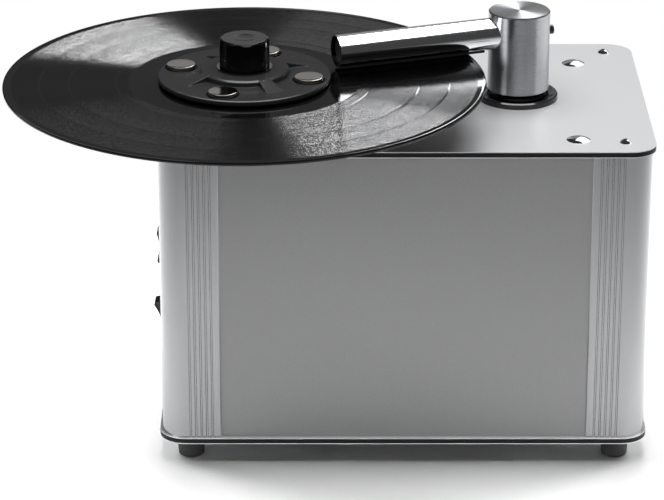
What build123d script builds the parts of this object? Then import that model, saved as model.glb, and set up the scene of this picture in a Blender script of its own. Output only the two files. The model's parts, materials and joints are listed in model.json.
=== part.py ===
from build123d import *
import os
from math import acos, atan2, cos, degrees, hypot, pi, radians, sin, sqrt, tan

os.makedirs("parts", exist_ok=True)

# Record cleaning machine, millimetres.  +Z up, +X to the user's right, +Y to the rear.
# The origin lies on the floor, under the centre of the cabinet.

# ---------------------------------------------------------------- cabinet
plate_w = 312.0             # top and bottom composite plates
plate_d = 214.0
plate_corner_r = 17.0
skin_t = 0.5                # aluminium skin on each face of a plate
core_t = 3.0                # black core between the skins
plate_t = core_t + 2 * skin_t
plate_overhang = 1.8        # a plate stands out this far past the posts
post_h = 190.5              # corner posts, between the plates
foot_h = 12.0

half_w = plate_w / 2 - plate_overhang       # outer faces of the posts
half_d = plate_d / 2 - plate_overhang
base_z = foot_h + plate_t                   # upper face of the bottom plate
deck_under_z = base_z + post_h              # lower face of the top plate
deck_z = deck_under_z + plate_t             # upper face of the top plate

foot_top_r = 9.0
foot_bottom_r = 8.2
foot_edge_r = 1.2
foot_inset_x = 20.0         # foot centre to the edge of the bottom plate
foot_inset_y = 13.0

# corner posts: fluted aluminium extrusions with a slot for each panel
post_leg = 38.0
post_corner_r = 15.2
post_wall = 2.4
lip_t = 1.2                 # front lip that hides the panel's edge
back_lip_t = 1.4
slot_depth = 6.0
slot_web = 1.6
flute_count = 5
flute_pitch = 3.5
flute_start = 5.5           # lip edge to the first flute
flute_r = 0.7               # round-bottomed flutes
lip_chamfer = 0.5           # lip's edge along the panel
port_r = 4.2                # screw port inside each post
port_web_t = 2.0
port_inset_x = 17.2         # screw axis to the post's outer faces
port_inset_y = 16.2

panel_t = 3.0
panel_play = 0.1            # each side of a panel in its slot
slot_w = panel_t + 2 * panel_play
panel_end_gap = 0.3         # panel edge to the bottom of its slot
panel_face_inset = lip_t + panel_play
panel_back_inset = panel_face_inset + panel_t

# corner screws, from above and from below, into the ports
screw_r = 1.95
screw_play = 0.1
screw_head_r = 3.75
screw_head_h = 2.3
screw_socket_r = 1.45
screw_length = 14.0
sink_head_r = 3.7
sink_head_h = 1.9

# ---------------------------------------------------------------- record and turntable
spindle_x = -100.0
spindle_y = -66.5
record_r = 150.8
record_t = 2.2
record_hole_r = 3.6
record_rise = 33.5          # upper face of the record above the top plate
label_r = 50.0
record_rim_w = 2.4          # raised bead at the edge
record_groove_drop = 0.2    # the grooves lie this far below the rim and the label
record_runout_r = 72.0
record_top_z = deck_z + record_rise
record_bottom_z = record_top_z - record_t

mat_t = 1.5
platter_r = 50.0
platter_t = 8.0
platter_hub_r = 16.0
platter_rim_w = 3.0         # ring under the platter's edge
platter_hollow = 2.0        # depth of the hollow inside that ring
platter_seat_t = 2.0        # platter's web that rests on the shaft's shoulder
mat_margin = 1.0            # platter's edge to the mat's edge
platter_top_z = record_bottom_z - mat_t
seat_gap = 0.15             # flat faces of pieces that move against each other

shaft_r = 6.0
shaft_chamfer = 1.0
shaft_overrun = 1.0         # shaft's lower end past its bush
pin_r = 3.5                 # spindle pin through the record and the clamp
pin_rise = 18.0             # above the record
run_play = 0.05             # radial, between a shaft and its bearing
fix_play = 0.02             # radial, between pieces that are fixed together

bush_r = 9.0
bush_flange_r = 13.0
bush_flange_t = 2.0
bush_length = 12.0

# ---------------------------------------------------------------- drive under the top plate
gear_module = 1.0
gear_teeth = 60
pinion_teeth = 18
gear_backlash = 0.3
gear_centre_play = 0.1
pressure_angle = radians(20)
gear_w = 10.0
gear_hub_r = 12.0
gear_hub_h = 4.0
gear_hole_r = 4.5
gear_hole_count = 6
drive_plate_t = 2.0
drive_plate_drop = 36.5     # top plate to the drive plate
drive_plate_w = 62.0
drive_plate_front = 32.0    # drive plate's edge in front of the spindle
drive_plate_rear = 68.0
pillar_r = 4.0
pillar_spread = 25.0        # front pillars, each side of the spindle
pillar_front = 26.5
pillar_rear = 61.0
motor_r = 25.0
motor_h = 40.0
motor_flange_t = 3.0
motor_shaft_r = 3.0
motor_shaft_depth = 25.0
motor_shaft_play = 1.0      # radial, in the drive plate's hole
motor_flange_trim = 6.0     # flange is this much narrower across X
motor_flange_corner_r = 6.0
pinion_overlap = 1.0        # pinion's teeth past each face of the gear
pinion_hub_step = 2.0       # pinion's pitch radius less its hub's radius

# ---------------------------------------------------------------- record clamp
clamp_r = 53.9
clamp_rise = 4.1            # face of the clamp above the record
clamp_edge_r = 1.1          # rounding of the clamp's rim
seal_r = 52.5
seal_w = 8.0
seal_t = 1.0
ring_r = 27.9               # raised ring round the knob
ring_rise = 3.9             # ring above the clamp's face
ring_chamfer = 1.0
ramp_count = 4              # ramps that fall from the ring to the clamp's face
ramp_angle = 28.5           # middle of the first ramp, from +X
ramp_half_angle = 8.2
ramp_r = 42.5               # foot of a ramp
magnet_count = 4
magnet_angle = 73.0
magnet_pitch_r = 42.0
magnet_rim_r = 10.2
magnet_rim_rise = 1.0       # rim above the clamp's face
magnet_r = 9.1
magnet_rise = 2.3
magnet_sink = 1.6
magnet_chamfer = 0.25
washer_r = 17.3
washer_t = 1.1
knob_tip_r = 15.6
knob_facet_r = 14.7
knob_facets = 8
knob_facet_turn = 30.0      # first facet's middle, from +X
knob_hollow_r = 26.0        # radius of each facet's concave face
knob_rise = 27.6            # knob top above the record
knob_neck_r = 13.0
knob_neck_h = 0.4
knob_chamfer = 1.4
knob_dish_r = 7.5
knob_dish_depth = 0.8
knob_bore_r = pin_r + run_play
knob_bore_rise = 19.0       # end of the bore above the record

# ---------------------------------------------------------------- vacuum arm
arm_x = 74.4
arm_y = -3.0
arm_aim = 19.9              # tube's turn towards the user from -X, degrees
arm_span = hypot(arm_x - spindle_x, arm_y - spindle_y)      # pivot axis to the spindle
arm_tip_gap = 6.9           # tube's tip to the clamp's edge
arm_reach = arm_span - clamp_r - arm_tip_gap                # pivot axis to the tube's tip
tube_r = 10.2
tube_wall = 1.5
tube_rise = 11.6            # tube's axis above the record
tube_root = 9.0             # tube's inner end, from the pivot axis
slit_w = 3.0
slit_rim_inset = 3.2        # slit's near end inside the record's rim
slit_start = arm_span - record_r + slit_rim_inset           # from the pivot axis
slit_margin = 6.8           # slit's far end to the tube's tip
felt_w = 2.0
felt_gap = 0.35             # lips above the record
felt_tip_gap = 0.5          # lips' far end to the tube's tip
felt_head_gap = 5.3         # lips' near end to the head
plug_recess = 2.5
plug_t = 3.0
head_r = 19.7
head_bottom_rise = 7.2      # above the top plate
head_top_rise = 59.0
head_chamfer = 0.8
lock_screw_r = 3.0
lock_screw_out = 3.6
lock_screw_stem_r = 2.0
lock_screw_stem = 7.0
lock_screw_drop = 15.5      # below the head's top
lock_screw_play = 0.5       # hole past the screw's end

pipe_r = 11.0
pipe_wall = 1.5
pipe_in_head = 20.0
sleeve_wall = 2.95
sleeve_r = pipe_r + run_play + sleeve_wall
sleeve_below_deck = 60.5
collar_r = 18.0
collar_t = 2.3
arm_bush_wall = 2.95
arm_bush_below_deck = 40.0
arm_bush_flange_r = 20.0
arm_bush_flange_t = 2.0
arm_ring_r = 25.7
arm_ring_h = 3.9
arm_ring_edge = 0.7
arm_ring_rim_w = 2.2

# ---------------------------------------------------------------- waste tank
tank_x = 72.0               # centre of the tank
tank_y = -9.0
tank_w = 120.0
tank_d = 130.0
tank_h = 96.0
tank_wall = 3.0
tank_corner_r = 12.0
tank_rim = 4.0
tank_rim_t = 4.0
lid_t = 4.0
tank_seal_t = 1.0
inlet_collar_h = 24.0
inlet_collar_wall = 3.5
pipe_in_collar = 18.0
pipe_play = 0.2             # radial, between the pipe and the collar
o_ring_r = 1.2
o_ring_drop = 3.6           # collar's top to the seal ring
ear_w = 22.0
outlet_x = 30.0
outlet_y = 40.0
outlet_h = 14.0
duct_r = 11.0
duct_wall = 1.5
duct_run_z = 173.0
duct_bend_r = 20.0

coach_front_x = 108.0       # coach bolts through the top plate
coach_front_y = -84.0
coach_rear_x = 115.0
coach_rear_y = 66.0
coach_head_r = 7.5
coach_head_h = 2.0
coach_neck = 6.0
coach_r = 3.0
coach_nut_af = 10.0
coach_nut_h = 5.0
hanger_w = 16.0
hanger_t = 2.0

# ---------------------------------------------------------------- blower
blower_x = -72.0
blower_y = 44.0
blower_mount_h = 10.0
blower_mount_r = 36.0
blower_motor_r = 32.0
blower_motor_h = 72.0
shroud_r = 46.0
shroud_h = 37.0
shroud_wall = 3.0
neck_h = 15.0
neck_wall = 3.0
duct_in_neck = 10.0
shroud_chamfer = 4.0
shaft_hole_play = 1.0       # radial, round the fan's shaft in the shroud
impeller_gap = 2.0
blade_count = 9
blade_t = 1.5
blade_sweep = radians(50)   # turn of a blade from its root to its tip
blade_root_gap = 4.0        # hub to the root of a blade
blade_tip_gap = 1.0
impeller_hub_drop = 6.0     # hub's top under the wheel's top
impeller_disc_t = 1.5
impeller_hub_r = 9.0
impeller_shaft_r = 4.0
impeller_shaft_depth = 30.0
cooling_slot_count = 12
cooling_slot_w = 5.0
cooling_slot_depth = 2.0
cooling_slot_margin = 12.0  # slot's ends to the motor's ends
blower_mount_w = 16.0

# ---------------------------------------------------------------- switches, left panel
switch_y = -50.0
switch_w = 15.0
switch_h = 28.0
motor_switch_z = 126.8
vacuum_switch_z = 78.7
bezel_t = 2.0
bezel_rim = 1.8
switch_body_w = 12.6
switch_body_depth = 16.0
well_depth = 6.0
rocker_w = 10.4
rocker_play = 0.35          # each side of a rocker in its well
rocker_end_play = 0.8
rocker_crest_rise = 3.05    # crests near a rocker's ends, above the bezel
rocker_crest_inset = 1.8    # a rocker's end to its crest
rocker_end_drop = 1.2       # crest to the corner at the end
rocker_valley_rise = 1.55   # middle of the hollow face, above the bezel
rocker_pin_r = 1.2
rocker_pin_reach = 0.7      # rocker's pins past its sides
rocker_back = 2.2           # rocker's back behind the panel's face
rocker_taper = 0.5
rocker_tilt = 16.5          # each way from the middle

# ---------------------------------------------------------------- mains inlet, rear panel
inlet_x = 80.0
inlet_z = 150.0
inlet_w = 27.0
inlet_h = 20.0
inlet_flange_w = 50.0
inlet_flange_h = 24.0
inlet_flange_t = 2.5
inlet_depth = 24.0
inlet_cavity_w = 24.0
inlet_cavity_h = 16.4
inlet_cavity_depth = 18.0
inlet_pin_w = 4.0
inlet_pin_t = 2.0
inlet_pin_length = 11.5
inlet_pin_spread = 7.0
inlet_pin_lift = 2.0
inlet_screw_spread = 40.0
inlet_corner_r = 5.0
inlet_screw_r = 2.8
inlet_screw_h = 1.2

# ---------------------------------------------------------------- exhaust slots, rear panel
vent_x = blower_x
vent_z = 60.0
vent_slot_l = 34.0
vent_slot_w = 3.0
vent_pitch = 8.0
vent_rows = 7

# ---------------------------------------------------------------- drain tap, rear panel
drain_x = 75.0
drain_z = 27.0
drain_bore_r = 3.0
drain_pipe_r = 5.5
drain_collar_r = 9.0
drain_collar_t = 3.0
tap_body_r = 8.0
tap_body_l = 20.0
spigot_r = 5.0
spigot_l = 14.0
tap_stem_r = 3.0
tap_stem_drop = 6.0
tap_lever_l = 24.0
tap_lever_w = 7.0
tap_lever_t = 3.0
tap_hub_r = 5.0
tap_hub_h = 3.0
tap_neck_step = 1.0         # tap body's radius less its neck's radius
tap_web = 2.0               # between the stem's hole and the bore

# ---------------------------------------------------------------- control board
board_x = -98.0
board_y = -58.0
board_w = 70.0
board_d = 56.0
board_t = 1.6
board_lift = 6.0
standoff_r = 2.5
standoff_inset = 5.0
transformer_w = 32.0
transformer_x = -12.0       # centre of each part, from the board's centre
transformer_y = -4.0
transformer_h = 28.0
capacitor_r = 8.0
capacitor_x = 20.0
capacitor_y = 12.0
capacitor_h = 30.0
relay_w = 19.0
relay_d = 14.0
relay_x = 19.5
relay_y = -7.0
relay_h = 15.0
terminals_w = 38.0
terminals_d = 8.0
terminals_x = -7.0
terminals_y = 21.0
terminals_h = 10.0


def disc(radius, bottom, top, x=0.0, y=0.0):
    """Upright cylinder from one height to another."""
    return Pos(x, y, bottom) * Cylinder(radius, top - bottom, align=(Align.CENTER, Align.CENTER, Align.MIN))


def tube(outer, inner, bottom, top, x=0.0, y=0.0):
    """Upright round tube."""
    return disc(outer, bottom, top, x, y) - disc(inner, bottom - 1, top + 1, x, y)


def block(x0, x1, y0, y1, z0, z1):
    """Box between two corners."""
    return Pos(x0, y0, z0) * Box(x1 - x0, y1 - y0, z1 - z0, align=(Align.MIN, Align.MIN, Align.MIN))


def turned(points, x=0.0, y=0.0):
    """Solid of revolution about an upright axis, from (radius, height) points."""
    outline = Plane.XZ * make_face(Polyline(*points, close=True))
    return Pos(x, y, 0) * revolve(outline, axis=Axis.Z)


def slab(outline, bottom, top):
    """Flat outline extruded from one height to another."""
    return Pos(0, 0, bottom) * extrude(outline, top - bottom, dir=(0, 0, 1))


def save(node, *solids):
    """Write one sub-part; several solids become one group."""
    shape = solids[0] if len(solids) == 1 else Compound(children=list(solids))
    export_step(shape, f"parts/{node}.step")


def mirrored_places(x, y):
    """The four places at plus and minus x and y."""
    return [(sx * x, sy * y) for sx in (-1, 1) for sy in (-1, 1)]


port_x = half_w - port_inset_x
port_y = half_d - port_inset_y
port_places = mirrored_places(port_x, port_y)
foot_places = mirrored_places(plate_w / 2 - foot_inset_x, plate_d / 2 - foot_inset_y)
coach_places = [(coach_front_x, coach_front_y), (coach_rear_x, coach_rear_y)]
pillar_places = [
    (spindle_x - pillar_spread, spindle_y - pillar_front),
    (spindle_x + pillar_spread, spindle_y - pillar_front),
    (spindle_x, spindle_y + pillar_rear),
]
arm_bush_r = sleeve_r + run_play + arm_bush_wall


# ---------------------------------------------------------------- cabinet pieces
def plate_layer(bottom, top):
    """One layer of a composite plate, without its holes."""
    return slab(RectangleRounded(plate_w, plate_d, plate_corner_r), bottom, top)


def deck_holes():
    """Everything that passes through the top plate."""
    low = deck_under_z - 1
    high = deck_z + 1
    holes = [disc(bush_r + fix_play, low, high, spindle_x, spindle_y)]
    holes.append(disc(arm_bush_r + fix_play, low, high, arm_x, arm_y))
    for x, y in port_places:
        holes.append(disc(screw_r + screw_play, low, high, x, y))
    for x, y in coach_places:
        side = coach_neck / 2 + screw_play
        holes.append(block(x - side, x + side, y - side, y + side, low, high))
    for x, y in pillar_places:
        holes.append(sunk_screw(x, y, deck_z, -1, screw_play, plate_t + 1))
    return holes


def base_holes():
    """Countersunk holes for the screws that hold the bottom plate."""
    return [sunk_screw(x, y, foot_h, 1, screw_play, plate_t + 1) for x, y in port_places]


def sunk_screw(x, y, face_z, way, play=0.0, length=screw_length):
    """Countersunk screw whose head is flush with a face; way is the direction of its tip."""
    head = sink_head_r + play
    stem = screw_r + play
    points = [
        (0, face_z),
        (head, face_z),
        (stem, face_z + way * sink_head_h),
        (stem, face_z + way * length),
        (0, face_z + way * length),
    ]
    return turned(points, x, y)


def composite_plate(name, bottom, holes):
    """Black core between two aluminium skins."""
    core_bottom = bottom + skin_t
    core_top = core_bottom + core_t
    core = plate_layer(core_bottom, core_top)
    lower_skin = plate_layer(bottom, core_bottom)
    upper_skin = plate_layer(core_top, bottom + plate_t)
    for hole in holes:
        core -= hole
        lower_skin -= hole
        upper_skin -= hole
    save(f"{name}_plate_core", core)
    save(f"{name}_plate_skins", lower_skin, upper_skin)


def rounded_corner(side, radius):
    """Square from the origin with its corner at the origin rounded."""
    square = Rectangle(side, side, align=(Align.MIN, Align.MIN))
    return fillet(square.vertices().sort_by_distance((0, 0, 0))[0], radius)


def post_leg_end():
    """End of the leg that lies along X: the block for the panel slot, and the cuts in it."""
    start = post_leg - slot_depth - slot_web
    depth = lip_t + slot_w + back_lip_t
    low = (Align.MIN, Align.MIN)
    body = Pos(start, 0) * Rectangle(post_leg - start, depth, align=low)
    cuts = Pos(post_leg - slot_depth, lip_t) * Rectangle(slot_depth + 1, slot_w, align=low)
    for number in range(flute_count):
        centre = post_leg - flute_start - number * flute_pitch
        cuts += Pos(centre, 0) * Circle(flute_r)
    cuts += Pos(post_leg, 0) * Rot(0, 0, 45) * Rectangle(lip_chamfer * sqrt(2), lip_chamfer * sqrt(2))
    return body, cuts


def swapped(outline):
    """The same outline on the post's other leg: mirrored about the corner's diagonal."""
    return mirror(outline, about=Plane((0, 0, 0), z_dir=(1, -1, 0)))


def post_solid():
    """One corner post; its outer faces lie on the planes through the two axes."""
    inner_r = post_corner_r - post_wall
    shell = rounded_corner(post_leg, post_corner_r)
    shell -= Pos(post_wall, post_wall) * rounded_corner(post_leg, inner_r)
    post = slab(shell, base_z, deck_under_z)
    body, cuts = post_leg_end()
    for outline in (body, swapped(body)):
        post += slab(outline, base_z, deck_under_z)
    for outline in (cuts, swapped(cuts)):
        post -= slab(outline, base_z, deck_under_z)
    arc_point = post_corner_r - (inner_r + post_wall / 2) / sqrt(2)
    run_x = port_inset_x - arc_point
    run_y = port_inset_y - arc_point
    web = Rectangle(hypot(run_x, run_y), port_web_t, align=(Align.MIN, Align.CENTER))
    web = Pos(arc_point, arc_point) * Rot(0, 0, degrees(atan2(run_y, run_x))) * web
    post += slab(web, base_z, deck_under_z)
    post += disc(port_r, base_z, deck_under_z, port_inset_x, port_inset_y)
    return post - disc(screw_r + run_play, base_z, deck_under_z, port_inset_x, port_inset_y)


def corner_posts():
    """Four posts, each the same extrusion turned over to its own corner."""
    for depth_name, sy in (("front", -1), ("rear", 1)):
        for side_name, sx in (("left", -1), ("right", 1)):
            post = post_solid()
            if sx > 0:
                post = mirror(post, about=Plane.YZ)
            if sy > 0:
                post = mirror(post, about=Plane.XZ)
            save(f"post_{depth_name}_{side_name}", Pos(sx * half_w, sy * half_d) * post)


def panel_half(half):
    """Half of a panel's width, into the slots of both posts."""
    return half - post_leg + slot_depth - panel_end_gap


def facing_panel(sy):
    """Front or rear panel."""
    reach = panel_half(half_w)
    near = sy * (half_d - panel_face_inset)
    far = sy * (half_d - panel_back_inset)
    return block(-reach, reach, min(near, far), max(near, far), base_z, deck_under_z)


def side_panel(sx):
    """Left or right panel."""
    reach = panel_half(half_d)
    near = sx * (half_w - panel_face_inset)
    far = sx * (half_w - panel_back_inset)
    return block(min(near, far), max(near, far), -reach, reach, base_z, deck_under_z)


def rear_panel():
    """Rear panel with the exhaust slots and the openings for the mains inlet and the drain."""
    panel = facing_panel(1)
    outside = half_d + 1
    inside = half_d - panel_back_inset - 1
    for row in range(vent_rows):
        z = vent_z + (row - (vent_rows - 1) / 2) * vent_pitch
        slot = Plane.XZ * SlotOverall(vent_slot_l, vent_slot_w)
        panel -= Pos(vent_x, outside, z) * extrude(slot, outside - inside)
    cut_w = inlet_w / 2 + fix_play
    cut_h = inlet_h / 2 + fix_play
    panel -= block(inlet_x - cut_w, inlet_x + cut_w, inside, outside, inlet_z - cut_h, inlet_z + cut_h)
    panel -= along_y(drain_pipe_r + screw_play, inside, outside, drain_x, drain_z)
    return panel


def left_panel():
    """Left panel with the cut-outs of the two switches."""
    panel = side_panel(-1)
    side = switch_body_w / 2 + fix_play
    tall = switch_h / 2 - bezel_rim + fix_play
    outside = -half_w - 1
    inside = -half_w + panel_back_inset + 1
    for z in (motor_switch_z, vacuum_switch_z):
        panel -= block(outside, inside, switch_y - side, switch_y + side, z - tall, z + tall)
    return panel


def along_y(radius, y0, y1, x, z):
    """Cylinder that lies along Y."""
    rod = Cylinder(radius, y1 - y0, align=(Align.CENTER, Align.CENTER, Align.MIN))
    return Pos(x, y0, z) * Rot(-90, 0, 0) * rod


def along_x(radius, x0, x1, y, z):
    """Cylinder that lies along X."""
    rod = Cylinder(radius, x1 - x0, align=(Align.CENTER, Align.CENTER, Align.MIN))
    return Pos(x0, y, z) * Rot(0, 90, 0) * rod


def foot(x, y):
    """Rubber foot, narrower at the floor, with a rounded lower edge."""
    side = Polyline((foot_bottom_r, foot_edge_r), (foot_top_r, foot_h), (0, foot_h), (0, 0))
    floor = Line((0, 0), (foot_bottom_r - foot_edge_r, 0))
    edge = ThreePointArc(
        (foot_bottom_r - foot_edge_r, 0),
        (foot_bottom_r - foot_edge_r * (1 - sin(pi / 4)), foot_edge_r * (1 - sin(pi / 4))),
        (foot_bottom_r, foot_edge_r),
    )
    outline = Plane.XZ * make_face([side, floor, edge])
    return Pos(x, y, 0) * revolve(outline, axis=Axis.Z)


def dome(radius, height, z, x, y):
    """Shallow spherical cap that stands on a face."""
    ball = (radius ** 2 + height ** 2) / (2 * height)
    cap = Pos(x, y, z + height - ball) * Sphere(ball)
    return cap & disc(radius + 1, z, z + height + 1, x, y)


def button_screw(x, y):
    """Button-head screw from above into a post's port, with a hexagon socket."""
    head = dome(screw_head_r, screw_head_h, deck_z, x, y)
    stem = disc(screw_r, deck_z - screw_length, deck_z + screw_head_h / 2, x, y)
    hexagon = Pos(x, y) * RegularPolygon(screw_socket_r, 6)
    socket = slab(hexagon, deck_z + screw_head_h / 2, deck_z + screw_head_h)
    return head + stem - socket


def coach_bolt(x, y):
    """Dome-headed bolt with a square neck in the top plate."""
    head = dome(coach_head_r, coach_head_h, deck_z, x, y)
    side = coach_neck / 2
    neck = block(x - side, x + side, y - side, y + side, deck_under_z, deck_z)
    tip = deck_under_z - hanger_t - coach_nut_h - coach_r
    return head + neck + disc(coach_r, tip, deck_z, x, y)


def coach_nut(x, y):
    """Hexagon nut under a hanger's upper flange."""
    top = deck_under_z - hanger_t
    outline = RegularPolygon(coach_nut_af / 2, 6, major_radius=False)
    nut = slab(Pos(x, y) * outline, top - coach_nut_h, top)
    return nut - disc(coach_r + fix_play, top - coach_nut_h - 1, top + 1, x, y)


def build_cabinet():
    """Plates, posts, panels, feet and their fasteners."""
    composite_plate("bottom", foot_h, base_holes())
    composite_plate("top", deck_under_z, deck_holes())
    corner_posts()
    save("front_panel", facing_panel(-1))
    save("rear_panel", rear_panel())
    save("left_panel", left_panel())
    save("right_panel", side_panel(1))
    save("feet", *[foot(x, y) for x, y in foot_places])
    save("top_screws", *[button_screw(x, y) for x, y in port_places])
    from_below = [sunk_screw(x, y, foot_h, 1) for x, y in port_places]
    from_above = [sunk_screw(x, y, deck_z, -1) for x, y in pillar_places]
    save("countersunk_screws", *from_below, *from_above)
    save("coach_bolts", *[coach_bolt(x, y) for x, y in coach_places])
    save("coach_nuts", *[coach_nut(x, y) for x, y in coach_places])


# ---------------------------------------------------------------- turntable
drive_plate_top = deck_z - drive_plate_drop
gear_bottom_z = drive_plate_top + bush_flange_t + seat_gap + gear_hub_h
gear_top_z = gear_bottom_z + gear_w
gear_r = gear_module * gear_teeth / 2
pinion_r = gear_module * pinion_teeth / 2
motor_y = spindle_y + gear_r + pinion_r + gear_centre_play


def gear_outline(teeth):
    """Involute gear outline with thinned teeth; a tooth is centred on +X."""
    pitch_r = gear_module * teeth / 2
    base_r = pitch_r * cos(pressure_angle)
    root_r = pitch_r - 1.25 * gear_module
    tip_r = pitch_r + gear_module
    steps = 3
    start_r = max(base_r, root_r)
    half_at_pitch = pi / (2 * teeth) - gear_backlash / (4 * pitch_r)
    flank = []
    for step in range(steps + 1):
        radius = start_r + (tip_r - start_r) * step / steps
        lean = acos(base_r / radius)
        swing = half_at_pitch + (tan(pressure_angle) - pressure_angle) - (tan(lean) - lean)
        flank.append((radius, swing))
    if root_r < base_r:
        flank.insert(0, (root_r, flank[0][1]))
    points = []
    for tooth in range(teeth):
        middle = 2 * pi * tooth / teeth
        for radius, swing in flank:
            points.append((radius * cos(middle - swing), radius * sin(middle - swing)))
        for radius, swing in reversed(flank):
            points.append((radius * cos(middle + swing), radius * sin(middle + swing)))
    return make_face(Polyline(*points, close=True))


def flanged_bush(face_z):
    """Bronze bush whose flange lies on a face."""
    points = [
        (shaft_r + run_play, face_z - bush_length),
        (bush_r, face_z - bush_length),
        (bush_r, face_z),
        (bush_flange_r, face_z),
        (bush_flange_r, face_z + bush_flange_t),
        (shaft_r + run_play, face_z + bush_flange_t),
    ]
    return turned(points, spindle_x, spindle_y)


def spindle_shaft():
    """Shaft through both bushes, with the thin record pin on top."""
    bottom = drive_plate_top - bush_length - shaft_overrun
    shoulder = platter_top_z - platter_seat_t
    tip = record_top_z + pin_rise
    points = [
        (0, bottom),
        (shaft_r - shaft_chamfer, bottom),
        (shaft_r, bottom + shaft_chamfer),
        (shaft_r, shoulder),
        (pin_r, shoulder),
        (pin_r, tip - pin_r / 2),
        (pin_r / 2, tip),
        (0, tip),
    ]
    return turned(points, spindle_x, spindle_y)


def spindle_gear():
    """Large gear with a hub and lightening holes, fixed on the spindle shaft."""
    gear = slab(gear_outline(gear_teeth), gear_bottom_z, gear_top_z)
    gear += disc(gear_hub_r, gear_bottom_z - gear_hub_h, gear_bottom_z)
    gear -= disc(shaft_r + fix_play, gear_bottom_z - gear_hub_h - 1, gear_top_z + 1)
    hole_pitch_r = (gear_r + gear_hub_r) / 2
    for number in range(gear_hole_count):
        turn = 2 * pi * number / gear_hole_count
        x = hole_pitch_r * cos(turn)
        y = hole_pitch_r * sin(turn)
        gear -= disc(gear_hole_r, gear_bottom_z - 1, gear_top_z + 1, x, y)
    return Pos(spindle_x, spindle_y, 0) * gear


def platter():
    """Small platter under the label, with a dished underside and a long hub."""
    hub_bottom = deck_z + bush_flange_t + seat_gap * 2
    under = platter_top_z - platter_t
    seat_z = platter_top_z - platter_seat_t
    bore = shaft_r + fix_play
    rim = platter_r - platter_rim_w
    points = [
        (bore, hub_bottom),
        (platter_hub_r, hub_bottom),
        (platter_hub_r, under + platter_hollow),
        (rim - platter_hollow / 2, under + platter_hollow),
        (rim, under),
        (platter_r, under),
        (platter_r, platter_top_z),
        (pin_r + fix_play, platter_top_z),
        (pin_r + fix_play, seat_z),
        (bore, seat_z),
    ]
    return turned(points, spindle_x, spindle_y)


def record():
    """Vinyl disc: raised bead and label area, lower grooved band on both faces."""
    top = record_top_z
    bottom = record_bottom_z
    drop = record_groove_drop
    groove_outer = record_r - record_rim_w
    points = [
        (record_hole_r, bottom),
        (label_r, bottom),
        (record_runout_r, bottom + drop),
        (groove_outer, bottom + drop),
        (record_r - record_t / 2, bottom),
        (record_r, bottom + record_t / 2),
        (record_r - record_t / 2, top),
        (groove_outer, top - drop),
        (record_runout_r, top - drop),
        (label_r, top),
        (record_hole_r, top),
    ]
    return turned(points, spindle_x, spindle_y)


def platter_mat():
    """Soft mat between the platter and the record."""
    return tube(platter_r - mat_margin, record_hole_r, platter_top_z, record_bottom_z, spindle_x, spindle_y)


def build_turntable():
    """Everything that turns with the spindle."""
    save("spindle_bushes", flanged_bush(deck_z), flanged_bush(drive_plate_top))
    save("spindle_shaft", spindle_shaft())
    save("spindle_gear", spindle_gear())
    save("platter", platter())
    save("platter_mat", platter_mat())
    save("record", record())


# ---------------------------------------------------------------- drive
def drive_plate():
    """Steel plate that carries the motor and the lower bush."""
    width = drive_plate_w
    depth = drive_plate_front + drive_plate_rear
    outline = RectangleRounded(width, depth, pillar_r)
    centre_y = spindle_y + (drive_plate_rear - drive_plate_front) / 2
    plate = slab(Pos(spindle_x, centre_y) * outline, drive_plate_top - drive_plate_t, drive_plate_top)
    low = drive_plate_top - drive_plate_t - 1
    plate -= disc(bush_r + fix_play, low, drive_plate_top + 1, spindle_x, spindle_y)
    plate -= disc(motor_shaft_r + motor_shaft_play, low, drive_plate_top + 1, spindle_x, motor_y)
    return plate


def pillar(x, y):
    """Round pillar between the drive plate and the top plate, tapped for its screw."""
    post = disc(pillar_r, drive_plate_top, deck_under_z, x, y)
    return post - disc(screw_r + fix_play, deck_z - screw_length - 1, deck_under_z + 1, x, y)


def drive_motor():
    """Geared motor under the drive plate, with a flange and a bore for its shaft."""
    top = drive_plate_top - drive_plate_t
    body = disc(motor_r, top - motor_h, top - motor_flange_t, spindle_x, motor_y)
    outline = RectangleRounded(2 * motor_r - motor_flange_trim, 2 * motor_r, motor_flange_corner_r)
    flange = slab(Pos(spindle_x, motor_y) * outline, top - motor_flange_t, top)
    bore = disc(motor_shaft_r + run_play, top - motor_shaft_depth - 1, top + 1, spindle_x, motor_y)
    return body + flange - bore


def motor_shaft():
    """Motor shaft up into the pinion."""
    bottom = drive_plate_top - drive_plate_t - motor_shaft_depth
    return disc(motor_shaft_r, bottom, gear_top_z + pinion_overlap, spindle_x, motor_y)


def drive_pinion():
    """Small gear on the motor shaft, with a hub on its lower side."""
    teeth_bottom = gear_bottom_z - pinion_overlap
    teeth_top = gear_top_z + pinion_overlap
    pinion = slab(gear_outline(pinion_teeth), teeth_bottom, teeth_top)
    pinion += disc(pinion_r - pinion_hub_step, gear_bottom_z - gear_hub_h, gear_bottom_z)
    pinion -= disc(motor_shaft_r + fix_play, gear_bottom_z - gear_hub_h - 1, teeth_top + 1)
    return Pos(spindle_x, motor_y, 0) * pinion


def build_drive():
    """Motor, gear plate and pillars under the top plate."""
    save("drive_plate", drive_plate())
    save("drive_pillars", *[pillar(x, y) for x, y in pillar_places])
    save("drive_motor", drive_motor())
    save("motor_shaft", motor_shaft())
    save("drive_pinion", drive_pinion())


# ---------------------------------------------------------------- clamp
clamp_bottom_z = record_top_z + seat_gap + seal_t
clamp_top_z = record_top_z + clamp_rise
ring_top_z = clamp_top_z + ring_rise
washer_top_z = ring_top_z + washer_t


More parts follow.
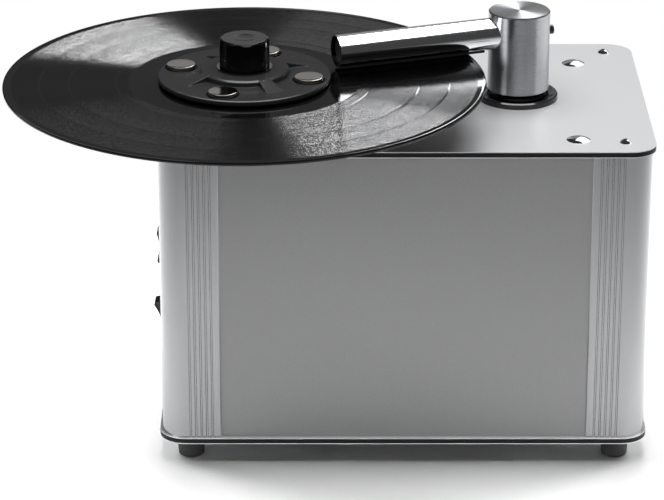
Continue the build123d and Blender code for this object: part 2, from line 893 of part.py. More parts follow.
def ramp(middle_angle):
    """Ramp from the ring's top down to the clamp's face: a sector with straight sides."""
    low = clamp_bottom_z + seal_t
    inside = ring_r - 2 * ring_chamfer
    points = [
        (inside, low),
        (ramp_r, low),
        (ramp_r, clamp_top_z),
        (ring_r - ring_chamfer, ring_top_z),
        (inside, ring_top_z),
    ]
    outline = Plane.XZ * make_face(Polyline(*points, close=True))
    sector = revolve(outline, axis=Axis.Z, revolution_arc=2 * ramp_half_angle)
    return Rot(0, 0, middle_angle - ramp_half_angle) * sector


def magnet_places():
    """Centres of the magnets, from the clamp's axis."""
    turns = [radians(magnet_angle + 360 / magnet_count * number) for number in range(magnet_count)]
    return [(magnet_pitch_r * cos(turn), magnet_pitch_r * sin(turn)) for turn in turns]


def clamp_disc():
    """Clamp body: rounded rim, raised ring with its ramps, and a pocket for each magnet."""
    points = [
        (knob_bore_r, clamp_bottom_z),
        (clamp_r, clamp_bottom_z),
        (clamp_r, clamp_top_z),
        (ring_r, clamp_top_z),
        (ring_r, ring_top_z - ring_chamfer),
        (ring_r - ring_chamfer, ring_top_z),
        (knob_bore_r, ring_top_z),
    ]
    body = turned(points)
    face_edges = body.edges().filter_by_position(Axis.Z, clamp_top_z, clamp_top_z)
    body = fillet(face_edges.sort_by(SortBy.LENGTH)[-1], clamp_edge_r)
    for number in range(ramp_count):
        body += ramp(ramp_angle + 360 / ramp_count * number)
    for x, y in magnet_places():
        body -= disc(magnet_rim_r + fix_play, clamp_top_z - magnet_sink, clamp_top_z + 1, x, y)
    return Pos(spindle_x, spindle_y, 0) * body


def magnet(x, y):
    """Plated disc magnet with a stepped rim."""
    foot_z = clamp_top_z - magnet_sink
    rim = clamp_top_z + magnet_rim_rise
    top = clamp_top_z + magnet_rise
    points = [
        (0, foot_z),
        (magnet_rim_r, foot_z),
        (magnet_rim_r, rim - magnet_chamfer),
        (magnet_rim_r - magnet_chamfer, rim),
        (magnet_r, rim),
        (magnet_r, top - magnet_chamfer),
        (magnet_r - magnet_chamfer, top),
        (0, top),
    ]
    return turned(points, spindle_x + x, spindle_y + y)


def clamp_knob():
    """Faceted knob: concave sides, chamfered top with a shallow dish, blind bore for the pin."""
    bottom = washer_top_z + knob_neck_h
    top = record_top_z + knob_rise
    points = [
        (0, washer_top_z),
        (knob_neck_r, washer_top_z),
        (knob_neck_r, bottom),
        (knob_tip_r, bottom),
        (knob_tip_r, top - knob_chamfer),
        (knob_tip_r - knob_chamfer, top),
        (0, top),
    ]
    knob = turned(points)
    reach = knob_facet_r + knob_hollow_r
    for number in range(knob_facets):
        turn = radians(knob_facet_turn + 360 / knob_facets * number)
        knob -= disc(knob_hollow_r, bottom, top + 1, reach * cos(turn), reach * sin(turn))
    dish_r = (knob_dish_r ** 2 + knob_dish_depth ** 2) / (2 * knob_dish_depth)
    knob -= Pos(0, 0, top - knob_dish_depth + dish_r) * Sphere(dish_r)
    knob -= disc(knob_bore_r, washer_top_z - 1, record_top_z + knob_bore_rise)
    return Pos(spindle_x, spindle_y, 0) * knob


def build_clamp():
    """The record clamp and its knob."""
    x, y = spindle_x, spindle_y
    save("clamp_disc", clamp_disc())
    save("clamp_seal", tube(seal_r, seal_r - seal_w, record_top_z + seat_gap, clamp_bottom_z, x, y))
    save("clamp_magnets", *[magnet(mx, my) for mx, my in magnet_places()])
    save("clamp_washer", tube(washer_r, knob_bore_r, ring_top_z, washer_top_z, x, y))
    save("clamp_knob", clamp_knob())


# ---------------------------------------------------------------- vacuum arm
tube_z = record_top_z + tube_rise
slit_end = arm_reach - slit_margin
head_bottom_z = deck_z + head_bottom_rise
head_top_z = deck_z + head_top_rise
lock_z = head_top_z - lock_screw_drop
collar_bottom_z = deck_z + arm_bush_flange_t + seat_gap
lid_top_z = base_z + tank_h + tank_seal_t + lid_t
inlet_collar_top = lid_top_z + inlet_collar_h
pipe_bottom_z = inlet_collar_top - pipe_in_collar


def aimed(shape):
    """Carry a shape from a frame whose +X is the tube's direction to the arm's place."""
    return Pos(arm_x, arm_y, 0) * Rot(0, 0, 180 + arm_aim) * shape


def arm_head():
    """Turned head: bored from below for the pipe and from the side for the tube."""
    points = [
        (0, head_bottom_z),
        (head_r, head_bottom_z),
        (head_r, head_top_z - head_chamfer),
        (head_r - head_chamfer, head_top_z),
        (0, head_top_z),
    ]
    head = turned(points)
    head -= disc(pipe_r + fix_play, head_bottom_z - 1, head_bottom_z + pipe_in_head)
    head -= disc(tube_r - tube_wall, head_bottom_z, tube_z)
    head -= along_x(tube_r + fix_play, tube_root, head_r + 1, 0, tube_z)
    head -= along_x(tube_r - tube_wall, 0, tube_root + 1, 0, tube_z)
    head -= along_x(lock_screw_stem_r + fix_play, -head_r - 1, lock_screw_stem - head_r, 0, lock_z)
    return aimed(head)


def arm_tube():
    """Suction tube with the slit on its underside."""
    pipe = along_x(tube_r, tube_root, arm_reach, 0, tube_z)
    pipe -= along_x(tube_r - tube_wall, tube_root - 1, arm_reach + 1, 0, tube_z)
    slit_low = tube_z - tube_r - 1
    pipe -= block(slit_start, slit_end, -slit_w / 2, slit_w / 2, slit_low, tube_z)
    return aimed(pipe)


def felt_lip(side):
    """Felt strip beside the slit, cut to the round of the tube."""
    inner = slit_w / 2
    outer = inner + felt_w
    y0 = min(side * inner, side * outer)
    y1 = max(side * inner, side * outer)
    low = record_top_z + felt_gap
    near = head_r + felt_head_gap
    far = arm_reach - felt_tip_gap
    strip = block(near, far, y0, y1, low, tube_z - tube_r / 2)
    return aimed(strip - along_x(tube_r, 0, arm_reach + 1, 0, tube_z))


def arm_lock_screw():
    """Cap screw in the head, opposite the tube."""
    head = along_x(lock_screw_r, -head_r - lock_screw_out, -head_r + lock_screw_r / 2, 0, lock_z)
    stem = along_x(lock_screw_stem_r, -head_r, lock_screw_stem - lock_screw_play - head_r, 0, lock_z)
    drum = disc(head_r, lock_z - 2 * lock_screw_r, lock_z + 2 * lock_screw_r)
    return aimed(head - drum + stem)


def riser_sleeve():
    """Sleeve that slides up and down in the bush and carries the arm on its collar."""
    bottom = deck_z - sleeve_below_deck
    top = head_bottom_z - seat_gap
    sleeve = tube(sleeve_r, pipe_r + run_play, bottom, top, arm_x, arm_y)
    collar = tube(collar_r, pipe_r + run_play, collar_bottom_z, collar_bottom_z + collar_t, arm_x, arm_y)
    return sleeve + collar


def arm_bush():
    """Plastic guide for the sleeve, with a flange on the top plate."""
    inner = sleeve_r + run_play
    points = [
        (inner, deck_z - arm_bush_below_deck),
        (arm_bush_r, deck_z - arm_bush_below_deck),
        (arm_bush_r, deck_z),
        (arm_bush_flange_r, deck_z),
        (arm_bush_flange_r, deck_z + arm_bush_flange_t),
        (inner, deck_z + arm_bush_flange_t),
    ]
    return turned(points, arm_x, arm_y)


def arm_ring():
    """Gloss trim ring round the bush; its top falls towards the centre."""
    inner = arm_bush_flange_r + fix_play
    top = deck_z + arm_ring_h
    rim = arm_ring_r - arm_ring_rim_w
    points = [
        (inner, deck_z),
        (arm_ring_r, deck_z),
        (arm_ring_r, top - arm_ring_edge),
        (arm_ring_r - arm_ring_edge, top),
        (rim, top),
        (inner, top - arm_ring_h / 3),
    ]
    return turned(points, arm_x, arm_y)


def arm_end_plug():
    """Plug that closes the tube a little inside its open tip."""
    plug_end = arm_reach - plug_recess
    return aimed(along_x(tube_r - tube_wall - fix_play, plug_end - plug_t, plug_end, 0, tube_z))


def arm_pipe():
    """Pipe from the head down through the sleeve into the tank's inlet."""
    top = head_bottom_z + pipe_in_head - seat_gap
    return tube(pipe_r, pipe_r - pipe_wall, pipe_bottom_z, top, arm_x, arm_y)


def build_arm():
    """Arm, its lifting sleeve and its guide in the top plate."""
    save("arm_head", arm_head())
    save("arm_tube", arm_tube())
    save("felt_lips", felt_lip(-1), felt_lip(1))
    save("arm_end_plug", arm_end_plug())
    save("arm_lock_screw", arm_lock_screw())
    save("arm_pipe", arm_pipe())
    save("riser_sleeve", riser_sleeve())
    save("arm_bush", arm_bush())
    save("arm_ring", arm_ring())


# ---------------------------------------------------------------- waste tank
tank_top_z = base_z + tank_h
seal_top_z = tank_top_z + tank_seal_t


def tank_outline(grow):
    """Plan of the tank, larger or smaller by one amount all round."""
    outline = RectangleRounded(tank_w + 2 * grow, tank_d + 2 * grow, tank_corner_r + grow)
    return Pos(tank_x, tank_y) * outline


def tank_body():
    """Moulded tank with a rim, and a boss for the drain pipe low on its rear wall."""
    tank = slab(tank_outline(0), base_z, tank_top_z)
    tank += slab(tank_outline(tank_rim), tank_top_z - tank_rim_t, tank_top_z)
    tank -= slab(tank_outline(-tank_wall), base_z + tank_wall, tank_top_z + 1)
    rear_wall = tank_y + tank_d / 2
    tank -= along_y(drain_pipe_r + fix_play, rear_wall - tank_wall - 1, rear_wall + 1, drain_x, drain_z)
    return tank


def tank_seal():
    """Flat gasket on the tank's rim."""
    return slab(tank_outline(tank_rim) - tank_outline(-tank_wall), tank_top_z, seal_top_z)


def hanger_side(y):
    """Which way a hanger at this depth faces: away from the tank."""
    return 1 if y > tank_y else -1


def lid_ear(x, y):
    """Ear of the lid under a hanger."""
    rim_y = tank_y + hanger_side(y) * (tank_d / 2 + tank_rim - tank_corner_r)
    far_y = y + hanger_side(y) * hanger_w / 2
    return block(x - ear_w / 2, x + ear_w / 2, min(rim_y, far_y), max(rim_y, far_y), seal_top_z, lid_top_z)


def tank_lid():
    """Lid with the inlet collar, the outlet collar and an ear for each hanger."""
    lid = slab(tank_outline(tank_rim), seal_top_z, lid_top_z)
    for x, y in coach_places:
        lid += lid_ear(x, y)
    collar_bore = pipe_r + pipe_play
    lid += disc(collar_bore + inlet_collar_wall, seal_top_z, inlet_collar_top, arm_x, arm_y)
    lid += disc(duct_r + duct_wall, seal_top_z, lid_top_z + outlet_h, outlet_x, outlet_y)
    lid -= disc(collar_bore, seal_top_z - 1, inlet_collar_top + 1, arm_x, arm_y)
    lid -= disc(duct_r + fix_play, lid_top_z, lid_top_z + outlet_h + 1, outlet_x, outlet_y)
    lid -= disc(duct_r - duct_wall, seal_top_z - 1, lid_top_z + 1, outlet_x, outlet_y)
    groove_z = inlet_collar_top - o_ring_drop
    groove_low, groove_high = groove_z - o_ring_r, groove_z + o_ring_r
    lid -= tube(collar_bore + o_ring_r, collar_bore - 1, groove_low, groove_high, arm_x, arm_y)
    return lid


def arm_seal():
    """Seal ring in the inlet collar that wipes the pipe."""
    groove_z = inlet_collar_top - o_ring_drop
    inner = pipe_r + run_play
    outer = pipe_r + pipe_play + o_ring_r - fix_play
    return tube(outer, inner, groove_z - o_ring_r + fix_play, groove_z + o_ring_r - fix_play, arm_x, arm_y)


def hanger(x, y):
    """Steel channel from the top plate down to an ear of the lid."""
    side = hanger_side(y)
    near = y - side * hanger_w / 2
    far = y + side * hanger_w / 2
    inner = near + side * hanger_t
    body = block(x - hanger_w / 2, x + hanger_w / 2, min(near, far), max(near, far), lid_top_z, deck_under_z)
    low_z = lid_top_z + hanger_t
    high_z = deck_under_z - hanger_t
    beyond = far + side
    body -= block(x - hanger_w, x + hanger_w, min(inner, beyond), max(inner, beyond), low_z, high_z)
    return body - disc(coach_r + screw_play, high_z - 1, deck_under_z + 1, x, y)


def suction_duct():
    """Bent pipe from the tank's outlet to the blower's neck."""
    route = FilletPolyline(
        (outlet_x, outlet_y, lid_top_z),
        (outlet_x, outlet_y, duct_run_z),
        (blower_x, blower_y, duct_run_z),
        (blower_x, blower_y, neck_top_z - duct_in_neck),
        radius=duct_bend_r,
    )
    section = Plane((outlet_x, outlet_y, lid_top_z)) * (Circle(duct_r) - Circle(duct_r - duct_wall))
    return sweep(section, path=route)


def build_tank():
    """Waste tank, its hangers and its duct."""
    save("tank_body", tank_body())
    save("tank_seal", tank_seal())
    save("tank_lid", tank_lid())
    save("tank_hangers", *[hanger(x, y) for x, y in coach_places])
    save("arm_seal", arm_seal())
    save("suction_duct", suction_duct())


# ---------------------------------------------------------------- blower
blower_motor_bottom = base_z + blower_mount_h
shroud_bottom_z = blower_motor_bottom + blower_motor_h
shroud_top_z = shroud_bottom_z + shroud_h
neck_top_z = shroud_top_z + neck_h
impeller_bottom_z = shroud_bottom_z + shroud_wall + impeller_gap
impeller_top_z = shroud_top_z - shroud_wall - impeller_gap
impeller_r = shroud_r - shroud_wall - impeller_gap


def blower_shroud():
    """Fan housing with the neck that takes the duct."""
    bore = impeller_shaft_r + shaft_hole_play
    points = [
        (bore, shroud_bottom_z),
        (shroud_r - shroud_chamfer, shroud_bottom_z),
        (shroud_r, shroud_bottom_z + shroud_chamfer),
        (shroud_r, shroud_top_z - shroud_chamfer),
        (shroud_r - shroud_chamfer, shroud_top_z),
        (duct_r + neck_wall, shroud_top_z),
        (duct_r + neck_wall, neck_top_z),
        (duct_r + fix_play, neck_top_z),
        (duct_r + fix_play, neck_top_z - duct_in_neck),
        (duct_r - duct_wall, neck_top_z - duct_in_neck),
        (duct_r - duct_wall, shroud_top_z - shroud_wall),
        (shroud_r - shroud_wall, shroud_top_z - shroud_wall),
        (shroud_r - shroud_wall, shroud_bottom_z + shroud_wall),
        (bore, shroud_bottom_z + shroud_wall),
    ]
    return turned(points, blower_x, blower_y)


def blower_motor():
    """Motor under the fan, ribbed by cooling slots."""
    body = disc(blower_motor_r, blower_motor_bottom, shroud_bottom_z)
    slot = Pos(blower_motor_r, 0) * Rectangle(2 * cooling_slot_depth, cooling_slot_w)
    low = blower_motor_bottom + cooling_slot_margin
    high = shroud_bottom_z - cooling_slot_margin
    for number in range(cooling_slot_count):
        turn = 360 / cooling_slot_count * number
        body -= slab(Rot(0, 0, turn) * slot, low, high)
    body -= disc(impeller_shaft_r + run_play, shroud_bottom_z - impeller_shaft_depth - 1, shroud_bottom_z + 1)
    return Pos(blower_x, blower_y, 0) * body


def impeller():
    """Closed fan wheel with curved blades, and its shaft."""
    wheel = disc(impeller_r, impeller_bottom_z, impeller_bottom_z + impeller_disc_t)
    wheel += tube(impeller_r, duct_r, impeller_top_z - impeller_disc_t, impeller_top_z)
    root_r = impeller_hub_r + blade_root_gap
    tip_r = impeller_r - blade_tip_gap
    middle_r = (root_r + impeller_r) / 2
    curve = ThreePointArc(
        (root_r, 0),
        (middle_r * cos(blade_sweep / 3), middle_r * sin(blade_sweep / 3)),
        (tip_r * cos(blade_sweep), tip_r * sin(blade_sweep)),
    )
    blade = trace(curve, blade_t)
    for number in range(blade_count):
        turn = 360 / blade_count * number
        wheel += slab(Rot(0, 0, turn) * blade, impeller_bottom_z, impeller_top_z - impeller_disc_t / 2)
    wheel += disc(impeller_hub_r, impeller_bottom_z, impeller_top_z - impeller_hub_drop)
    wheel += disc(impeller_shaft_r, shroud_bottom_z - impeller_shaft_depth, impeller_bottom_z)
    return Pos(blower_x, blower_y, 0) * wheel


def build_blower():
    """Vacuum blower on its rubber mount."""
    inner_r = blower_mount_r - blower_mount_w
    save("blower_mount", tube(blower_mount_r, inner_r, base_z, blower_motor_bottom, blower_x, blower_y))
    save("blower_motor", blower_motor())
    save("blower_shroud", blower_shroud())
    save("impeller", impeller())


# ---------------------------------------------------------------- switches
panel_face_x = -half_w + panel_face_inset


def switch_box(half_width, half_height, x0, x1, z):
    """Box centred on a switch at height z."""
    return block(x0, x1, switch_y - half_width, switch_y + half_width, z - half_height, z + half_height)


def switch_body(z):
    """Switch housing behind the panel, with its bezel in front and a well for the rocker."""
    bezel_x = panel_face_x - bezel_t
    inner_tall = switch_h / 2 - bezel_rim
    body = switch_box(switch_w / 2, switch_h / 2, bezel_x, panel_face_x, z)
    body += switch_box(switch_body_w / 2, inner_tall, panel_face_x, panel_face_x + switch_body_depth, z)
    well_side = rocker_w / 2 + rocker_play
    body -= switch_box(well_side, inner_tall - screw_play, bezel_x - 1, panel_face_x + well_depth, z)
    hole_reach = rocker_w / 2 + rocker_pin_reach + screw_play
    front, rear = switch_y - hole_reach, switch_y + hole_reach
    return body - along_y(rocker_pin_r + run_play, front, rear, panel_face_x, z)


def rocker(z, tilt):
    """Rocker with a hollow face between two crests; tilt swings its upper end out."""
    tall = switch_h / 2 - bezel_rim - rocker_end_play
    crest_z = tall - rocker_crest_inset
    crest_x = -bezel_t - rocker_crest_rise
    end_x = crest_x + rocker_end_drop
    face = ThreePointArc((crest_x, -crest_z), (-bezel_t - rocker_valley_rise, 0), (crest_x, crest_z))
    rest = Polyline(
        (crest_x, crest_z),
        (end_x, tall),
        (rocker_back, tall - rocker_taper),
        (rocker_back, -tall + rocker_taper),
        (end_x, -tall),
        (crest_x, -crest_z),
    )
    outline = make_face(face + rest)
    body = Pos(0, rocker_w / 2, 0) * extrude(Plane.XZ * outline, rocker_w)
    pin_reach = rocker_w / 2 + rocker_pin_reach
    body += along_y(rocker_pin_r, -pin_reach, pin_reach, 0, 0)
    return Pos(panel_face_x, switch_y, z) * Rot(0, -tilt, 0) * body


def build_switches():
    """Two rocker switches on the left panel: the upper at its middle, the lower tipped to one side."""
    save("switch_bodies", switch_body(motor_switch_z), switch_body(vacuum_switch_z))
    save("motor_rocker", rocker(motor_switch_z, 0))
    save("vacuum_rocker", rocker(vacuum_switch_z, rocker_tilt))


# ---------------------------------------------------------------- rear fittings
rear_face_y = half_d - panel_face_inset


def mains_inlet():
    """Inlet socket: flange, body behind the panel and the recess for a plug."""
    flange = RectangleRounded(inlet_flange_w, inlet_flange_h, inlet_corner_r)
    flange = Plane.XZ * Pos(inlet_x, inlet_z) * flange
    body = Pos(0, rear_face_y + inlet_flange_t, 0) * extrude(flange, inlet_flange_t)
    w, h = inlet_w / 2, inlet_h / 2
    body += block(inlet_x - w, inlet_x + w, rear_face_y - inlet_depth, rear_face_y, inlet_z - h, inlet_z + h)
    mouth = rear_face_y + inlet_flange_t
    w, h = inlet_cavity_w / 2, inlet_cavity_h / 2
    body -= block(inlet_x - w, inlet_x + w, mouth - inlet_cavity_depth, mouth + 1, inlet_z - h, inlet_z + h)
    spread, lift = inlet_pin_spread, inlet_pin_lift
    pin_places = [(0, lift), (-spread, -lift), (spread, -lift)]
    floor = mouth - inlet_cavity_depth
    tip = floor + inlet_pin_length
    w, h = inlet_pin_t / 2, inlet_pin_w / 2
    for dx, dz in pin_places:
        x, z = inlet_x + dx, inlet_z + dz
        body += block(x - w, x + w, floor, tip, z - h, z + h)
    return body


def inlet_screws():
    """Two small screws through the inlet's flange."""
    face = rear_face_y + inlet_flange_t
    screws = []
    for sx in (-1, 1):
        x = inlet_x + sx * inlet_screw_spread / 2
        screws.append(along_y(inlet_screw_r, face, face + inlet_screw_h, x, inlet_z))
    return screws


tap_y = rear_face_y + drain_collar_t + tap_body_l / 2
spigot_start = rear_face_y + drain_collar_t + tap_body_l
spigot_end = spigot_start + spigot_l
tap_top_z = drain_z + tap_body_r


def drain_tap():
    """Drain pipe out of the tank, tap body behind the panel's outside, and the hose spigot."""
    tank_side = tank_y + tank_d / 2 - tank_wall
    body = along_y(drain_pipe_r, tank_side, rear_face_y, drain_x, drain_z)
    body += along_y(drain_collar_r, rear_face_y, rear_face_y + drain_collar_t, drain_x, drain_z)
    body += along_y(tap_body_r - tap_neck_step, rear_face_y, spigot_start, drain_x, drain_z)
    body += disc(tap_body_r, drain_z - tap_body_r, tap_top_z, drain_x, tap_y)
    body += along_y(spigot_r, spigot_start, spigot_end, drain_x, drain_z)
    body -= along_y(drain_bore_r, tank_side - 1, tap_y - tap_stem_r - tap_web, drain_x, drain_z)
    body -= along_y(drain_bore_r, tap_y + tap_stem_r + tap_web, spigot_end + 1, drain_x, drain_z)
    return body - disc(tap_stem_r + run_play, tap_top_z - tap_stem_drop - 1, tap_top_z + 1, drain_x, tap_y)


def drain_lever():
    """Quarter-turn lever on top of the tap; it lies across the pipe when the tap is shut."""
    bottom = tap_top_z + seat_gap
    lever = disc(tap_stem_r, tap_top_z - tap_stem_drop, bottom, drain_x, tap_y)
    lever += disc(tap_hub_r, bottom, bottom + tap_hub_h, drain_x, tap_y)
    bar = SlotOverall(tap_lever_l + tap_lever_w / 2, tap_lever_w)
    centre = drain_x + (tap_lever_l - tap_lever_w / 2) / 2
    lever += slab(Pos(centre, tap_y) * bar, bottom + tap_hub_h - tap_lever_t, bottom + tap_hub_h)
    return lever


# ---------------------------------------------------------------- control board
def control_board():
    """Circuit board on four standoffs."""
    bottom = base_z + board_lift
    board = slab(Pos(board_x, board_y) * Rectangle(board_w, board_d), bottom, bottom + board_t)
    for sx in (-1, 1):
        for sy in (-1, 1):
            x = board_x + sx * (board_w / 2 - standoff_inset)
            y = board_y + sy * (board_d / 2 - standoff_inset)
            board += disc(standoff_r, base_z, bottom, x, y)
    return board


def board_box(dx, dy, width, depth, height):
    """Box-shaped part on the board, by its centre from the board's centre."""
    x, y = board_x + dx, board_y + dy
    z = base_z + board_lift + board_t
    return block(x - width / 2, x + width / 2, y - depth / 2, y + depth / 2, z, z + height)


def board_parts():
    """Transformer, capacitor, relay and terminal block on the board."""
    z = base_z + board_lift + board_t
    transformer = board_box(transformer_x, transformer_y, transformer_w, transformer_w, transformer_h)
    capacitor = disc(capacitor_r, z, z + capacitor_h, board_x + capacitor_x, board_y + capacitor_y)
    relay = board_box(relay_x, relay_y, relay_w, relay_d, relay_h)
    terminals = board_box(terminals_x, terminals_y, terminals_w, terminals_d, terminals_h)
    return [transformer, capacitor, relay, terminals]


def build_fittings():
    """Mains inlet, drain tap and control board."""
    save("mains_inlet", mains_inlet())
    save("inlet_screws", *inlet_screws())
    save("drain_tap", drain_tap())
    save("drain_lever", drain_lever())
    save("control_board", control_board(), *board_parts())


build_cabinet()
build_turntable()
build_drive()
build_clamp()
build_arm()
build_tank()
build_blower()
build_switches()
build_fittings()
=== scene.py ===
import bpy
import json
from math import cos, pi, radians, sin
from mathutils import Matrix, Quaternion, Vector


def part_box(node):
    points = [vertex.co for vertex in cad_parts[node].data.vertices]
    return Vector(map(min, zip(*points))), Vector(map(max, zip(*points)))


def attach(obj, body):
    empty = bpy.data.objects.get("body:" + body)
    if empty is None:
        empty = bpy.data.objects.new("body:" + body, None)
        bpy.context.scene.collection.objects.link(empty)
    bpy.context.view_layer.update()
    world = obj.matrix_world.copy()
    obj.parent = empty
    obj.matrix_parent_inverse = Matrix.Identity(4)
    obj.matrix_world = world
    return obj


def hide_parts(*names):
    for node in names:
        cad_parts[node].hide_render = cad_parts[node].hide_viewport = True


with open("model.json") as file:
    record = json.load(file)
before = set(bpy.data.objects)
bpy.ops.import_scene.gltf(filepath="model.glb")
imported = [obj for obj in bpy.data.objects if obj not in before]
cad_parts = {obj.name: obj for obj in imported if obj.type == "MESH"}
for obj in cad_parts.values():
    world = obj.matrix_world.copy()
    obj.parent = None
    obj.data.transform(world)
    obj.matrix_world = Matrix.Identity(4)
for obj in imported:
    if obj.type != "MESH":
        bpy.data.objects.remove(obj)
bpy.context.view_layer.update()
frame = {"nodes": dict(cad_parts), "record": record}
nodes = frame["nodes"]
mm = 0.001


def middle_of(node):
    """Upright axis through the middle of a node's box."""
    low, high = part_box(node)
    return (low[0] + high[0]) / 2, (low[1] + high[1]) / 2


spindle = middle_of("record")
arm_axis = middle_of("arm_ring")
record_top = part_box("record")[1][2]
arm_aim = radians(199.9)            # tube's direction from the arm's axis, from +X

# ---------------------------------------------------------------- camera
camera_place = (-0.0439, -1.9492, 0.8832)
camera_pitch = radians(68.18)       # from straight down
focal_length = 172.5                # mm
sensor_width = 36.0                 # mm
frame_shift = -0.0039               # sideways, in frame widths


def make_camera():
    """Camera in front of the machine and above it."""
    data = bpy.data.cameras.new("studio_camera")
    data.lens = focal_length
    data.sensor_width = sensor_width
    data.shift_x = frame_shift
    data.clip_end = 50.0
    camera = bpy.data.objects.new("studio_camera", data)
    camera.location = camera_place
    camera.rotation_euler = (camera_pitch, 0, 0)
    bpy.context.scene.collection.objects.link(camera)
    bpy.context.scene.camera = camera


# ---------------------------------------------------------------- shader nodes
def link(tree, source, target):
    """Join two sockets of a node tree."""
    tree.links.new(source, target)


def feed(tree, node, inputs):
    """Give a node its inputs in order, each a socket, a number or a vector."""
    for socket, value in zip(node.inputs, inputs):
        if isinstance(value, bpy.types.NodeSocket):
            link(tree, value, socket)
        else:
            socket.default_value = value


def value_math(tree, operation, *inputs):
    """Result of an operation on values."""
    node = tree.nodes.new("ShaderNodeMath")
    node.operation = operation
    feed(tree, node, inputs)
    return node.outputs[0]


def vector_math(tree, operation, *inputs):
    """Result of an operation on vectors."""
    node = tree.nodes.new("ShaderNodeVectorMath")
    node.operation = operation
    feed(tree, node, inputs)
    return node.outputs[0]


def length_of(tree, vector):
    """Length of a vector."""
    node = tree.nodes.new("ShaderNodeVectorMath")
    node.operation = "LENGTH"
    feed(tree, node, [vector])
    return node.outputs["Value"]


def scaled_vector(tree, vector, factor):
    """Vector times a value."""
    node = tree.nodes.new("ShaderNodeVectorMath")
    node.operation = "SCALE"
    link(tree, vector, node.inputs[0])
    link(tree, factor, node.inputs["Scale"])
    return node.outputs[0]


def to_world(tree, vector):
    """Turn an object's direction with the object."""
    node = tree.nodes.new("ShaderNodeVectorTransform")
    node.vector_type = "VECTOR"
    node.convert_from = "OBJECT"
    node.convert_to = "WORLD"
    link(tree, vector, node.inputs[0])
    return node.outputs[0]


def object_place(tree):
    """Object coordinates."""
    return tree.nodes.new("ShaderNodeTexCoord").outputs["Object"]


def stretched_place(tree, scale=(1, 1, 1)):
    """Object coordinates, stretched."""
    mapping = tree.nodes.new("ShaderNodeMapping")
    mapping.inputs["Scale"].default_value = scale
    link(tree, object_place(tree), mapping.inputs["Vector"])
    return mapping.outputs[0]


def across_axis(tree, axis):
    """Level vector from an upright axis, and its length."""
    across = vector_math(tree, "MULTIPLY_ADD", object_place(tree), (1, 1, 0), (-axis[0], -axis[1], 0))
    return across, length_of(tree, across)


def angle_of(tree, across):
    """Direction of a level vector, in radians."""
    parts = tree.nodes.new("ShaderNodeSeparateXYZ")
    link(tree, across, parts.inputs[0])
    return value_math(tree, "ARCTAN2", parts.outputs["Y"], parts.outputs["X"])


def noise(tree, vector, scale, detail):
    """Fractal noise from 0 to 1."""
    texture = tree.nodes.new("ShaderNodeTexNoise")
    texture.inputs["Scale"].default_value = scale
    texture.inputs["Detail"].default_value = detail
    link(tree, vector, texture.inputs["Vector"])
    return texture.outputs[0]


def arcs(tree, radius, angle, per_metre, per_radian, detail=2.0):
    """Noise drawn out along circles round an axis."""
    place = tree.nodes.new("ShaderNodeCombineXYZ")
    feed(tree, place, [
        value_math(tree, "MULTIPLY", radius, per_metre),
        value_math(tree, "MULTIPLY", angle, per_radian),
    ])
    return noise(tree, place.outputs[0], 1.0, detail)


def spread(tree, value, low, high, out_low=0, out_high=1):
    """Map a value from one range to another."""
    node = tree.nodes.new("ShaderNodeMapRange")
    feed(tree, node, [value, low, high, out_low, out_high])
    return node.outputs[0]


def blend_colors(tree, factor, first, second):
    """Colour between two, by a factor."""
    node = tree.nodes.new("ShaderNodeMix")
    node.data_type = "RGBA"
    node.inputs["A"].default_value = (*first, 1)
    node.inputs["B"].default_value = (*second, 1)
    link(tree, factor, node.inputs["Factor"])
    return node.outputs["Result"]


def mix_for_camera(tree, output, shader, kind, amount=1.0):
    """Send a shader to an output, with white mixed over it by amount for camera rays alone."""
    white = tree.nodes.new(kind)
    white.inputs["Color"].default_value = (1, 1, 1, 1)
    white.inputs["Strength"].default_value = 1.0
    path = tree.nodes.new("ShaderNodeLightPath")
    factor = value_math(tree, "MULTIPLY", path.outputs["Is Camera Ray"], amount)
    mix = tree.nodes.new("ShaderNodeMixShader")
    feed(tree, mix, [factor, shader, white.outputs[0]])
    link(tree, mix.outputs[0], tree.nodes[output].inputs["Surface"])


# ---------------------------------------------------------------- studio
wall_light = 0.06                   # strength of the light from the studio walls
floor_size = 60.0
floor_white = 0.9
plain_floor = (0.3, 0.5)            # m from the middle, where the shadow gives way to plain white


def make_world():
    """Dim studio walls that the camera sees as white."""
    world = bpy.data.worlds.new("studio")
    world.use_nodes = True
    tree = world.node_tree
    back = tree.nodes["Background"]
    back.inputs["Color"].default_value = (1, 1, 1, 1)
    back.inputs["Strength"].default_value = wall_light
    mix_for_camera(tree, "World Output", back.outputs[0], "ShaderNodeBackground")
    bpy.context.scene.world = world


def make_floor():
    """White floor that keeps the machine's shadow and is plain white further out."""
    bpy.ops.mesh.primitive_plane_add(size=floor_size, location=(0, 0, 0))
    floor = bpy.context.active_object
    floor.name = "studio_floor"
    matte = {"Specular_IOR_Level": 0.0}
    material, tree, shader = blank("studio_floor", (floor_white,) * 3, 0.0, 1.0, **matte)
    _, radius = across_axis(tree, (0.0, 0.0))
    far_out = spread(tree, radius, *plain_floor)
    mix_for_camera(tree, "Material Output", shader.outputs[0], "ShaderNodeEmission", far_out)
    floor.data.materials.append(material)
    return floor


# ---------------------------------------------------------------- lights
machine_middle = (0.0, 0.0, 0.15)
record_middle = (*spindle, record_top)
high_behind = (0.48, 1.53, 1.94)
low_behind = (0.1, 2.4, 1.35)       # what level faces mirror to the camera
low_left = (-1.7, -1.2, 0.7)
low_right = (1.93, 0.2, 0.6)
above = (0.0, -0.2, 2.6)


def linked_set(name, pieces):
    """Collection of the pieces that a lamp lights, or that throw its shadows."""
    group = bpy.data.collections.new(name)
    for piece in pieces:
        group.objects.link(piece)
    for row in group.collection_objects:
        row.light_linking.link_state = "INCLUDE"
    return group


